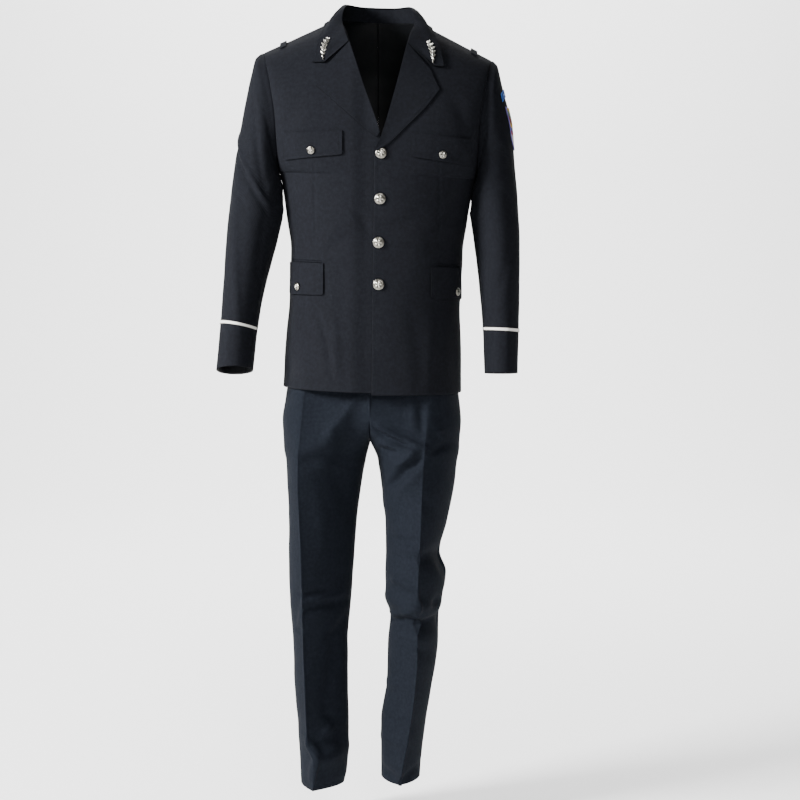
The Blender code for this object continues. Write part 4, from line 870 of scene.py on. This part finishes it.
def cuffBraid(side):
    # Two rows of slanted cord with a fine groove between them, moved out from the sleeve's own points
    first, last = sleeveLook["backSeam"], sleeveLook["frontSeam"]
    turns = np.radians(first + (last - first) * edged(280))
    w = edged(8)[:, None]
    s = trimLook["braidAt"] + (w - 0.5) * trimLook["braidWidth"] / sleeveLook["length"]
    s = s + trimLook["braidTilt"][side] * np.cos(turns)
    slant = 0.5 + 0.5 * np.cos(np.degrees(turns) * 4.4 + 4 * np.abs(w - 0.5))
    weave = trimLook["cord"] * np.abs(np.sin(2 * math.pi * w)) * slant
    points, normals = sleeveSurface(side, s, turns, jacket["lay"] + trimLook["thick"])
    points = points + normals * weave[..., None]
    # Painted shade: the groove between the two rows and the braid's outer edges are coloured darker than the cords
    shade = threads(np.abs(w - 0.5) + 0 * turns, [(0.05, "#a9a69e"), (0.36, "#e4e2dc"), (1, "#8f8c84")])
    points = trimmed(points, ("firstColumn", "lastColumn"), trimLook["braidEnd"])
    return shell("cuffBraid" + hands[side], points, normals, trimLook["thick"], [braidCloth], thread=shade)


def sleeveAt(side, z, turn):
    # Share s of the sleeve at given heights and turns, found by halving
    low, high = np.zeros_like(z), np.ones_like(z)
    for _ in range(24):
        s = (low + high) / 2
        above = sleevePoint(side, s, turn)[..., 2] > z
        low, high = np.where(above, s, low), np.where(above, high, s)
    return s


def sleeveBadge(kind, finish):
    # The arched tab or the shield on the outer line of the wearer's left sleeve, with a raised ridge inside its edge.
    # The tab is blue in a lighter border, with a plain strip in place of words. The shield has slanting bands that
    # stand for no real arms.
    top, low, half = badges[kind]
    h, u = np.broadcast_arrays(edged(50)[:, None], 2 * edged(52)[None, :] - 1)
    tab = kind == "Tab"
    wide = 1 if tab else np.sqrt(np.clip(1 - (np.clip(h - 0.62, 0, 1) / 0.39)**2, 0, 1))
    turn = np.radians(half) * u * wide
    hang = trimLook["arch"] * (1 - np.cos(turn)) / (1 - math.cos(math.radians(half))) if tab else 0
    s = sleeveAt(1, (top + (low - top) * h) * mm - hang, turn)
    points, normals = sleeveSurface(1, s, turn)
    near, border, relief = np.min(reaches(points), axis=0), trimLook["border"][kind], trimLook["relief"][kind]
    ridge, inset, width = trimLook["ridge"]
    raised = ridge * np.exp(-((near - inset) / width)**2)
    if tab:
        high, long = trimLook["word"]
        word = np.abs(u) < long
        raised = raised + relief * np.exp(-((h - 0.5) / high)**2) * word
        shade = threads(near, [(border, "#2f5ca6"), (1, "#173a7c")])
        shade[(np.abs(h - 0.5) < high) & word] = linear("#6f93cc")
    else:
        band = h * 1.25 + 0.28 * u
        shade = threads(band, [(0.16, "#2b3378"), (0.3, "#a8842a"), (0.5, "#4f5f56"), (0.7, "#64281f"),
                               (0.82, "#a8842a"), (0.93, "#2a4080"), (1.04, "#842621"), (2, "#a9a9ad")])
        raised = raised + relief * np.abs(np.sin(band * 2 * math.pi * 4))
        shade[near < border] = linear("#6a609a")
    points = points + normals * (jacket["lay"] + trimLook["thick"] + raised)[..., None]
    return shell("sleeve" + kind, points, normals, trimLook["thick"], [finish], thread=shade)


for side in hands:
    settle(cuffBraid(side))
settle(sleeveBadge("Tab", tabCloth))
settle(sleeveBadge("Shield", shieldCloth))
print("sleeve trim")


# Collar leaves and shoulder bridles

leafLook = {"thick": 1.0 * mm, "rows": 130, "columns": 24, "leaflets": 6, "half": 6.4, "rib": 0.6, "bow": 3.5 * mm,
            "top": (98, -34.5), "run": (10, -44), "lean": 0.75, "proud": 1.1 * mm, "ribUp": 0.9 * mm, "blade": 1.0 * mm,
            "sides": 0.5 * mm}
bridleLook = {"thick": 1.2 * mm, "rows": 40, "columns": 14, "back": (-22, 62), "across": {1: (186, 12), -1: (181, 12)},
              "proud": 0.3 * mm, "rise": 2.5 * mm, "below": -110 * mm}


def collarLeaf(side):
    # A metal sprig: six pairs of pointed leaflets either side of a raised midrib. Each leaflet's reach rises and falls
    # along the rib, leans up towards the tip with its distance from the rib, and dark gaps part it from the next.
    t = edged(leafLook["rows"])[:, None]
    u = (2 * edged(leafLook["columns"]) - 1)[None, :]
    phase = (leafLook["leaflets"] * t + 0.2 * np.sign(u) * side + 0.1 * np.abs(u)) % 1
    reach = np.where(phase < 0.4, phase / 0.4, (1 - phase) / 0.6)**0.8
    swell = np.sin(math.pi * (0.06 + 0.92 * t)**0.7)**0.9
    half = (leafLook["half"] * swell * (0.3 + 0.7 * reach) + leafLook["rib"]) * mm
    (topX, topZ), (runX, runZ) = leafLook["top"], leafLook["run"]
    bow = leafLook["bow"] * np.sin(math.pi * t)
    x = side * (topX + runX * t) * mm + collarLook["shift"] + side * bow + half * u
    z = (topZ + runZ * t) * mm + leafLook["lean"] * half * np.abs(u)
    spots, ways = collarSurface(np.sort(np.linspace(0.55, 1, 90) * side), np.linspace(0, 1, 90))
    spots, ways = spots.reshape(-1, 3), ways.reshape(-1, 3)
    near = np.argmin(np.hypot(spots[:, 0] - x[..., None], spots[:, 2] - z[..., None]), axis=-1)
    spot, slope = spots[near], relaxed(ways[near], 8, turned=True)
    y = spot[..., 1] - (slope[..., 0] * (x - spot[..., 0]) + slope[..., 2] * (z - spot[..., 2])) / slope[..., 1]
    y = relaxed(y, 8)
    blade = np.sin(math.pi * phase)**0.8
    ribUp = np.exp(-(u / 0.14)**2) * stepUp(t, 0, 0.06)
    proud = (jacket["lay"] + leafLook["proud"] + leafLook["ribUp"] * ribUp
             + leafLook["blade"] * blade * (1 - 0.6 * np.abs(u)) - leafLook["sides"] * np.abs(u))
    points = np.stack([x, y, z], -1) + slope * proud[..., None]
    # Painted shade: the midrib and the raised middle of each leaflet are light, the colour darkens towards the
    # leaflets' ends and is near black in the gaps between them
    shade = between("#0c0c0d", "#dad7ce", np.maximum(1.25 * blade - 0.25, ribUp))
    return shell("collarLeaf" + hands[side], points, slope, leafLook["thick"], [silver], thread=shade)


def bridle(side):
    # A cloth loop on the shoulder for a shoulder board: flat ends, raised middle
    share = edged(bridleLook["rows"])
    (start, length), (inner, wide) = bridleLook["back"], bridleLook["across"][side]
    x, y = np.broadcast_arrays(side * (inner + wide * edged(bridleLook["columns"]))[None, :] * mm,
                               (start + length * share)[:, None] * mm)
    spots, ways = shoulderSurface(side)
    hidden = 10 * (spots[:, 2] < bridleLook["below"])      # the body far below the shoulder doesn't count
    near = np.argmin(np.hypot(spots[:, 0] - x[..., None], spots[:, 1] - y[..., None]) + hidden, axis=-1)
    spot, slope = spots[near], ways[near]
    z = spot[..., 2] - (slope[..., 0] * (x - spot[..., 0]) + slope[..., 1] * (y - spot[..., 1])) / slope[..., 2]
    for _ in range(10):
        slope[1:-1] = unit(slope[:-2] + slope[1:-1] + slope[2:])
        z[1:-1] = (z[:-2] + z[1:-1] + z[2:]) / 3
    proud = bridleLook["thick"] + jacket["lay"] + bridleLook["proud"]
    proud = proud + bridleLook["rise"] * np.sin(math.pi * share)**0.6
    grid = np.stack([x, y, z], -1) + slope * proud[:, None, None]
    return shell("shoulderBridle" + hands[side], grid, normalsOf(grid, slope), bridleLook["thick"], [jacketCloth])


for side in hands:
    settle(collarLeaf(side))
    settle(bridle(side))
print("leaves and bridles")


# Trousers

trousers = {"wall": 1.6 * mm, "bandWall": 3.0 * mm, "crotch": -833 * mm, "top": -580 * mm, "bandTop": -542 * mm,
            "centre": -15 * mm, "rows": {True: 210, False: 140}, "riseRows": {True: 80, False: 50},
            "columns": {True: 92, False: 46}, "crease": (1.2 * mm, 4 * mm), "tuckedIn": 2.5 * mm,
            "bandOpen": 0.012, "buttonIn": 9 * mm, "fly": (34 * mm, 130 * mm), "fullRise": (-920 * mm, -775 * mm),
            "foldGain": 1.5, "blur": 60 * mm, "seamSink": 0.25 * mm, "pressed": 0.06 * mm,
            "calm": (12 * mm, 20 * mm), "waves": 1.0 * mm, "worn": (-860 * mm, -760 * mm),
            "tuckFrom": (-740 * mm, -715 * mm),
            "denser": [(-872 * mm, 45 * mm, 1.5), (-1130 * mm, 90 * mm, 0.5)], "flyAt": (1 * mm, 4 * mm)}
legNames = "height outer inner frontX frontY backX backY side"
legs = {
    1: table(legNames, [
        (-1525, 86, 6, 45, -90, 47, 74, 0), (-1496, 88, 6, 49, -91, 49, 76, 0), (-1412, 98, 6, 64, -93, 54, 84, 0),
        (-1328, 111, 18, 75, -97, 66, 84, -3), (-1245, 123, 20, 80, -104, 70, 78, -6),
        (-1190, 124, 25, 80, -110, 74, 66, -10), (-1145, 132, 17, 80, -120, 76, 60, -12),
        (-1100, 139, 15, 81, -124, 76, 62, -12), (-1059, 126, 16, 83, -122, 76, 72, -10),
        (-997, 141, 15, 86, -118, 78, 86, -4), (-915, 157, 6, 89, -117, 80, 102, 2),
        (-874, 161, 1, 91, -116, 78, 110, 5), (-850, 165, -8, 93, -116, 76, 116, 8),
        (-833, 166, -14.8, 94, -112, 75, 116, 10), (-790, 169, -14.8, 98, -107, 73, 117, 10),
        (-740, 164.5, -14.8, 100, -103, 72, 116, 10), (-690, 158, -14.8, 92, -101, 66, 112, 10),
        (-635, 148, -14.8, 80, -101, 60, 102, 10), (-580, 139, -14.8, 70, -101, 56, 91, 10)]),
    -1: table(legNames, [
        (-1537, -159, -70, -131, -86, -98, 78, 0), (-1510, -160, -64, -128, -88, -94, 79, 0),
        (-1471, -162, -61, -124, -92, -92, 80, 0), (-1440, -164, -60, -142, -86, -90, 82, 0),
        (-1412, -165, -60, -143, -86, -89, 84, 0), (-1328, -171, -62, -146, -88, -90, 87, 0),
        (-1245, -174, -62, -149, -90, -92, 90, 0), (-1162, -180, -55, -151, -92, -92, 92, 0),
        (-1079, -182, -49, -152, -94, -92, 94, 0), (-997, -181, -43, -155, -96, -93, 98, 2),
        (-915, -185, -32, -158, -99, -94, 105, 4), (-874, -187, -25, -158, -100, -95, 111, 6),
        (-850, -191, -19, -157, -99, -96, 115, 8), (-833, -192, -15.2, -155, -98, -97, 116, 10),
        (-790, -193, -15.2, -151, -90, -98, 116, 10), (-740, -186, -15.2, -146, -82, -98, 114, 10),
        (-690, -181, -15.2, -136, -87, -94, 111, 10), (-635, -168, -15.2, -118, -93, -88, 101, 10),
        (-580, -153, -15.2, -100, -96, -84, 90, 10)])}
rise = table("height front back", [
    (-833, 10, 10), (-829, -24, 42), (-819, -58, 72), (-800, -86, 96), (-775, -104, 110), (-740, -114, 120),
    (-690, -113, 116), (-635, -111, 104), (-580, -107, 92)])
press = np.array([(-1537, 2.0), (-1050, 1.8), (-833, 1.45), (-700, 1.2), (-580, 1.0)])      # crease sharpness by height

# The largest folds, which the solids have too, then the finer ones, with their columns as above
legFolds = {
    1: [(12, -880, 92, -835, 0, 16, 3.4, 0), (20, -960, 84, -880, 0, 18, 4.2, 0),
        (20, -925, 88, -858, 0, 10, -2.4, 0), (20, -1150, 118, -1160, 0, 16, 5.6, 0),
        (30, -1198, 120, -1200, 0, 14, -6.8, 0), (60, -1062, 128, -1050, 0, 15, -5, 0),
        (0, -795, 62, -826, -2, 6.5, 3.8, 0), (62, -826, 92, -837, 0, 6, 2.6, 0), (-8, -799, 35, -824, -3, 6, -4, 0),
        (35, -824, 64, -838, 0, 6, -4, 0), (30, -799, 100, -829, 0, 7, -3, 0), (6, -829, 40, -836, -1, 6, 3.4, 0),
        (40, -836, 70, -842, 0, 6, 3.4, 0), (8, -842, 38, -852, 0, 6, -3, 0), (76, -842, 44, -873, 2, 7, 4, 0),
        (44, -873, 20, -915, 2, 8, 4, 0), (90, -846, 55, -887, 3, 9, -4.4, 0), (55, -887, 30, -918, 0, 9, -3.6, 0),
        (86, -876, 56, -915, 3, 9, 2.6, 0), (140, -832, 106, -850, 0, 8, -3.2, 0), (124, -800, 124, -812, 0, 9, 2, 0),
        (68, -735, 70, -800, 0, 9, 2, 0), (86, -735, 88, -812, 0, 7, -2.4, 0), (37, -1027, 79, -1029, 4, 9, -4.2, 0),
        (29, -1111, 45, -1101, 0, 8, 4.2, 0), (45, -1101, 79, -1123, 0, 9, 4.8, 0),
        (30, -1197, 51, -1180, -2, 8, -5.1, 0), (51, -1180, 119, -1186, -8, 8, -5.1, 0),
        (27, -1186, 75, -1158, -4, 8, 5.1, 0), (75, -1158, 77, -1138, 0, 8, 4.2, 0),
        (17, -1327, 63, -1325, 3, 10, 2.7, 0), (7, -1401, 61, -1407, 3, 10, -2.7, 0),
        (5, -1442, 57, -1438, 3, 11, 2.7, 0), (5, -1502, 45, -1523, 3, 9, -4.1, 0),
        (45, -1523, 83, -1496, 3, 9, -3.4, 0), (122, -1059, 140, -1108, 0, 9, -4.2, 0),
        (120, -1145, 110, -1161, 0, 9, -4.2, 0), (60, -1240, 110, -1262, 4, 12, -2.7, 0),
        (70, -930, 130, -985, 5, 14, -1.6, 0), (30, -990, 70, -1060, 4, 14, 2.7, 0)],
    -1: [(-60, -760, -110, -850, 0, 26, 5, 0), (-40, -800, -80, -880, 0, 22, -6, 0),
         (-150, -870, -80, -850, 0, 16, -4, 0), (-70, -1460, -118, -1475, 0, 20, 5, 0),
         (-38, -729, -88, -798, 4, 9, 3.5, 0.3), (-88, -798, -102, -820, 0, 9, 3, 0.2),
         (-155, -848, -95, -834, 3, 13, 2, 0), (-149, -1136, -95, -1132, 3, 10, -4.1, 0),
         (-149, -1167, -65, -1157, 4, 10, -4.4, 0), (-140, -1150, -80, -1144, 3, 9, 3.4, 0),
         (-157, -1127, -165, -1157, 0, 8, -4.1, 0), (-165, -1157, -172, -1202, 0, 8, -4.1, 0),
         (-155, -1202, -165, -1220, 0, 8, -3.4, 0), (-85, -1227, -100, -1328, 4, 14, -4.8, 0),
         (-100, -1328, -104, -1379, 0, 13, -4.1, 0), (-104, -1379, -90, -1406, 3, 11, -3.7, 0),
         (-112, -1428, -90, -1406, 0, 9, 4.4, 0), (-142, -1433, -121, -1468, 2, 8, 3.7, 0),
         (-121, -1468, -134, -1521, -3, 8, 3.7, 0), (-65, -1190, -95, -1227, 3, 10, -3.7, 0),
         (-80, -900, -60, -990, 4, 15, -2, 0), (-120, -930, -110, -1060, 4, 16, 1.6, 0)]}
seatFolds = {
    1: [(20, -850, 90, -836, -5, 11, -3, 0), (30, -872, 100, -860, -5, 11, 2.4, 0),
        (20, -900, 70, -905, 3, 12, -2, 0), (30, -1100, 118, -1090, 6, 12, -5.4, 0),
        (30, -1122, 112, -1128, -4, 11, 5.1, 0), (40, -1160, 110, -1150, 5, 11, -4.4, 0),
        (20, -1462, 80, -1470, 4, 12, 3.7, 0), (10, -1490, 70, -1484, 4, 11, -3.4, 0),
        (90, -960, 100, -1060, 4, 18, 2.5, 0)],
    -1: [(-20, -850, -96, -838, 5, 11, -3, 0), (-30, -876, -100, -858, 5, 11, 2.4, 0),
         (-60, -1108, -150, -1096, -6, 12, -5.1, 0), (-66, -1132, -150, -1126, 4, 11, 4.8, 0),
         (-70, -1166, -140, -1160, -5, 11, -4.1, 0), (-80, -1450, -140, -1460, 4, 12, 3.7, 0),
         (-80, -1484, -150, -1476, 4, 12, -3.4, 0), (-120, -930, -130, -1050, 4, 18, 2, 0)]}


def legPoint(side, front, z, q):
    # Outer surface of a leg. q is 0 at the side seam, 1 on the crease and 2 at the inner edge. In each quarter X runs
    # as a power of the cosine, which presses the crease, and Y as the sine. Above the crotch the inner edge follows
    # the rise to the centre seam: only the last part of the quarter bends to it, and the rest comes forward slowly.
    # Away from that edge its depth is a mean over more and more height, so that the crotch makes no ledge.
    rows, face = legs[side], "front" if front else "back"
    outer, inner, seamY = readAt(rows, "outer", z), readAt(rows, "inner", z), readAt(rows, "side", z)
    creaseX, creaseY = readAt(rows, face + "X", z), readAt(rows, face + "Y", z)
    blur = (2 - np.clip(q, 1, 2)) * trousers["blur"]
    nearby = [z + k * blur for k in np.linspace(-1, 1, 9)]
    innerY = sum(np.where(at < trousers["crotch"], readAt(rows, "side", at), readAt(rise, face, at))
                 for at in nearby) / len(nearby)
    low, high = trousers["fullRise"]
    softY = seamY + (readAt(rise, face, np.maximum(z, high)) - seamY) * stepUp(z, low, high)
    sharp = np.interp(z, press[:, 0] * mm, press[:, 1]) * (1 if front else 0.9)
    first, second = np.clip(q, 0, 1) * math.pi / 2, np.clip(q - 1, 0, 1) * math.pi / 2
    x = np.where(q <= 1, creaseX + (outer - creaseX) * np.clip(np.cos(first), 0, 1)**sharp,
                 creaseX + (inner - creaseX) * np.sin(second)**sharp)
    y = np.where(q <= 1, seamY + (creaseY - seamY) * np.sin(first),
                 softY + (creaseY - softY) * np.cos(second) + (innerY - softY) * np.clip(q - 1, 0, 1)**4)
    return np.stack(np.broadcast_arrays(x, y, z + 0 * q), -1)


def legHeights(side, front):
    # Heights of a panel's rows. Below the crotch their share is 1 plus a bell at the thigh and a flatter one at the
    # knee, where the folds are close; above it they widen towards the waist.
    hem, crotch, top = legs[side]["height"][0], trousers["crotch"], trousers["top"]
    even = np.linspace(hem, crotch, 600)
    share = np.cumsum(1 + sum(more * np.exp(-((even - at) / wide)**2) for at, wide, more in trousers["denser"]))
    below = np.interp(edged(trousers["rows"][front])[:-1], (share - share[0]) / (share[-1] - share[0]), even)
    above = crotch + (top - crotch) * np.linspace(0, 1, int(trousers["riseRows"][front] * fine))**1.7
    return np.concatenate([below, above])


def trouserPanel(side, front):
    # A front or back leg piece, hem to waist, with its folds, pressed crease and shared normals at the seams
    z, crotch, facing = legHeights(side, front), trousers["crotch"], -1 if front else 1
    q = 2 * edged(trousers["columns"][front])
    points = legPoint(side, front, z[:, None], q[None, :])
    normals = normalsOf(points, points * [0, 1, 0] + [0, facing * 0.02, 0])
    fromSide, toInner, _, toTop = reaches(points)
    x, up = points[..., 0], points[..., 2]
    calm, calmTop = trousers["calm"]
    still = stepUp(fromSide, 0, calm) * stepUp(toInner, 0, calm) * stepUp(toTop, 0, calmTop)
    lift = foldLift(x, up, (legFolds if front else seatFolds)[side]) * still * trousers["foldGain"]
    lift = lift + slowWaves(x + 2, up, trousers["waves"]) * still
    high, wide = trousers["crease"]
    fromCrease = np.abs(fromSide - fromSide[:, [np.argmin(np.abs(q - 1))]])
    worn = 1 - 0.7 * stepUp(up, *trousers["worn"])
    lift = lift + high * np.exp(-fromCrease / wide) * worn
    lift = (lift + seamSink(points, ("firstColumn", "lastColumn"), trousers["seamSink"])
            - trousers["tuckedIn"] * stepUp(up, *trousers["tuckFrom"]) * still)
    points = points + normals * lift[..., None]
    normals = blended(normals, fromSide, np.array([side, 0, 0]))
    above = (z > crotch + 0.5 * mm)[:, None, None]
    inseam = np.where((z < crotch - 0.5 * mm)[:, None, None], [-side, 0, 0], unit(np.array([-side * 0.5, 0, -1])))
    normals = blended(normals, toInner, np.where(above, unit(normals * [0, 1, 1]), inseam))
    points = trimmed(points, ("firstColumn", "lastRow"))
    # The two legs' centre edges press a little into each other, so that no light shows through the seam
    above = above[:, 0, 0]
    points[:, -1, 0] = np.where(above, trousers["centre"] - side * trousers["pressed"], points[:, -1, 0])
    points[:, -1, 1] += np.where(above, 0, facing * seamGap)
    return shell("trouser%s%s" % ("Front" if front else "Back", hands[side]), points, normals, trousers["wall"],
                 [trouserCloth], ("firstRow",), leans=False)


def waistRing(turn):
    # Top edge of the trousers all round from the centre front: the rows of the four panels joined
    quarter = (turn % (2 * math.pi)) / (math.pi / 2)
    left = quarter < 2
    q = np.where(left, quarter, 4 - quarter)
    front = q < 1
    across = np.where(front, 2 - 2 * q, 2 * (q - 1))
    points = np.zeros(quarter.shape + (3,))
    for side in (1, -1):
        for face in (True, False):
            use = (left == (side > 0)) & (front == face)
            points[use] = legPoint(side, face, trousers["top"] + 0 * quarter, across)[use]
    return points


def waistband():
    turn = trousers["bandOpen"] + (2 * math.pi - 2 * trousers["bandOpen"]) * edged(200)
    low, high = trousers["top"] + seamGap, trousers["bandTop"]
    points = waistRing(turn)[None] * [1, 1, 0] + np.array([0, 0, 1]) * (low + (high - low) * edged(8))[:, None, None]
    normals = unit(normalsOf(points, points * [1, 1, 0] - [trousers["centre"], 0, 0]) * [1, 1, 0])
    return shell("waistbandCloth", points, normals, trousers["bandWall"], [trouserCloth],
                 ("lastRow", "firstColumn", "lastColumn"), leans=False)


def fly():
    # A flap under the centre front, rounded at its foot, on the leg's own depth read off at each height
    width, length = trousers["fly"]
    t, w = edged(50), edged(12)
    inset, drop = trousers["flyAt"]
    z = trousers["top"] - drop - length * t
    wide = width * np.sqrt(np.clip(1 - (np.clip(t - 0.7, 0, 1) / 0.31)**2, 0.03, 1))
    x = trousers["centre"] + inset + wide[:, None] * w[None, :]
    q = np.linspace(2, 1, 60)
    line = legPoint(1, True, z[:, None] + 0 * q[None, :], q[None, :])
    y = np.array([np.interp(x[i], line[i, :, 0], line[i, :, 1]) for i in range(len(z))])
    points = np.stack([x, y - trousers["wall"], z[:, None] + 0 * x], -1)
    return shell("flyCloth", points, normalsOf(points, np.array([0, -1, 0])), trousers["wall"], [trouserCloth],
                 ("firstRow", "lastRow", "lastColumn"), leans=False)


def waistButton():
    x = trousers["centre"] - trousers["buttonIn"]
    line = waistRing(np.linspace(-0.6, 0, 80))
    under = np.abs(line[:, 0] - x) < buttonLook["waist"][0] / 2
    place = [x, line[under, 1].min() - jacket["lay"], (trousers["top"] + trousers["bandTop"]) / 2]
    return button("waistButton", place, [0, -1, 0], buttonLook["waist"], horn, 0)


for side in hands:
    for front in (True, False):
        settle(trouserPanel(side, front))
settle(waistband())
settle(fly())
settle(waistButton())
print("trousers")


# Stitches

# Edge and welt: pitch, length and radius of a stitch
stitchLook = {"inset": 6 * mm, "sunk": 0.02 * mm, "edge": (3.4 * mm, 2.0 * mm, 0.28 * mm),
              "welt": (3.0 * mm, 3.2 * mm, 0.9 * mm), "weltAbove": (1.6, 5.2), "flapHeight": 62}


def stitches(name, runs, look, finish):
    # Short threads joined in one mesh: each is a six-sided spindle laid along its run, half sunk in the cloth
    pitch, length, radius = look
    starts, ends, ups = [], [], []
    for points, normals in runs:
        points = leaned(points)
        reach = np.concatenate([[0], np.cumsum(np.linalg.norm(np.diff(points, axis=0), axis=-1))])
        at = np.arange(pitch, reach[-1] - pitch, pitch)
        for store, lines, where in ((starts, points, at), (ends, points, at + length), (ups, normals, at)):
            store.append(np.stack([np.interp(where, reach, lines[:, k]) for k in range(3)], -1))
    start, end, up = np.concatenate(starts), np.concatenate(ends), unit(np.concatenate(ups))
    across = unit(np.cross(unit(end - start), up))
    q = np.linspace(0, 2 * math.pi, 6, endpoint=False)
    ringsAt = np.array([0, 0.2, 0.8, 1])
    fat = np.array([0.35, 1, 1, 0.35]) * radius
    rise = np.array([-0.3, 0.4, 0.4, -0.3]) * radius
    centre = start[:, None] + (end - start)[:, None] * ringsAt[None, :, None] + up[:, None] * rise[None, :, None]
    turned = across[:, None, None] * np.cos(q)[None, None, :, None] + up[:, None, None] * np.sin(q)[None, None, :, None]
    points = (centre[:, :, None] + turned * fat[None, :, None, None]).reshape(-1, 3)
    ring = np.arange(6)
    after = np.roll(ring, -1)
    quads = np.concatenate([np.stack([ring, after, after + 6, ring + 6], -1) + 6 * k for k in range(3)])
    every = (np.arange(len(start)) * 24)[:, None, None]
    caps = np.stack([ring[::-1], ring + 18])
    faces = (quads[None] + every).reshape(-1, 4).tolist() + (caps[None] + every).reshape(-1, 6).tolist()
    obj = keep(name, points, faces, [finish])
    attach(obj, "root")


def lapelRun(side):
    # Inside the lapel's outer edge, from the break to its top
    a = np.linspace(0.04, 0.97, 120)
    b = 1 - stitchLook["inset"] / np.maximum(0.02 + 0.1 * a, 0.03)      # the inset over a width that grows with a
    return lapelSurface(side, a, b, stitchLook["sunk"])


def flapRun(kind, side):
    # Round three sides of a flap
    t = np.linspace(0, 1, 60)
    u = np.concatenate([0 * t + 0.04, 0.04 + 0.86 * t, 0 * t + 0.9])
    v = np.concatenate([0.04 + 0.84 * t, 0 * t + 0.88, 0.88 - 0.84 * t])
    return flapSurface(kind, side, u, v, stitchLook["sunk"])


def frontRun():
    z = np.linspace(-262, -722, 200) * mm
    return frontAt(1, readAt(frontEdge, "left", z) + stitchLook["inset"], z, stitchLook["sunk"])


def collarRun():
    points, normals = collarSurface(np.linspace(-0.985, 0.985, 300), np.linspace(0.9, 0.92, 2))
    return points[:, 0], normals[:, 0]


def weltRun(side, above):
    # A line over the mouth of a hip pocket, above its flap
    u = np.linspace(0.02, 0.96, 80)
    return flapSurface("hip", side, u, -above / stitchLook["flapHeight"] + 0 * u, -jacket["wall"] - jacket["stiffLay"])


edgeRuns = [lapelRun(1), lapelRun(-1), frontRun(), collarRun()]
edgeRuns += [flapRun(kind, side) for kind in ("chest", "hip") for side in hands]
weltRuns = [weltRun(side, above) for side in hands for above in stitchLook["weltAbove"]]
stitches("edgeStitches", edgeRuns, stitchLook["edge"], thread)
stitches("pocketWelts", weltRuns, stitchLook["welt"], jacketCloth)
print("stitches")


# Stage

stage = {"floor": -1.62, "reach": 9.0, "back": 6.5, "round": 1.6, "rise": 7.0, "world": 0.1,
         "eye": (0.045, -4.0, -0.426), "down": 4.65, "lens": 88.97, "sensor": 36,
         "lights": {"key": ((-3.3, -1.9, 1.0), (0, 0, -0.8), 1.1, 580),
                    "fill": ((0.8, -4.6, 1.2), (0, 0, -0.9), 1.2, 95),
                    "back": ((0, 3.4, 3.8), (0, 6.5, -0.9), 3.4, 620),
                    "floor": ((0, 2.6, 3.0), (0, 2.8, -1.6), 2.4, 200)}}      # place, aim, size, power


def sweep():
    # A pale floor that rounds up into a wall behind, drawn along one profile
    turn = np.linspace(0, math.pi / 2, 16)
    y = np.concatenate([[-stage["reach"]], stage["back"] - stage["round"] * (1 - np.sin(turn)), [stage["back"]]])
    z = np.concatenate([[0], stage["round"] * (1 - np.cos(turn)), [stage["rise"]]]) + stage["floor"]
    x = np.array([-1, 1]) * stage["reach"]
    points = np.stack(np.broadcast_arrays(x[None, :], y[:, None], z[:, None]), -1)
    index = np.arange(len(y) * 2).reshape(-1, 2)
    faces = np.stack([index[:-1, 0], index[:-1, 1], index[1:, 1], index[1:, 0]], -1)
    return keep("floor", points.reshape(-1, 3), faces.tolist(), [plain("pale floor", "#fbfbfb", 0.9)[0]])


def softLight(name, place, aim, size, power):
    # A square lamp at place that shines towards aim
    data = bpy.data.lights.new(name, "AREA")
    data.shape, data.size, data.energy = "SQUARE", size, power
    lamp = bpy.data.objects.new(name, data)
    turnTo, at = frameAt(place, np.array(place) - np.array(aim))
    lamp.matrix_world = Matrix(np.vstack([np.column_stack([turnTo, at]), [0, 0, 0, 1]]).tolist())
    bpy.context.scene.collection.objects.link(lamp)


sweep()
world = bpy.data.worlds.new("soft white")
bpy.context.scene.world = world
world.use_nodes = True
world.node_tree.nodes["Background"].inputs["Color"].default_value = (1, 1, 1, 1)
world.node_tree.nodes["Background"].inputs["Strength"].default_value = stage["world"]
for name, settings in stage["lights"].items():
    softLight(name, *settings)

camera = bpy.data.cameras.new("camera")
camera.lens, camera.sensor_width = stage["lens"], stage["sensor"]
eye = bpy.data.objects.new("camera", camera)
eye.location = stage["eye"]
eye.rotation_euler = (math.radians(90 - stage["down"]), 0, 0)
bpy.context.scene.collection.objects.link(eye)
bpy.context.scene.camera = eye
print("stage")
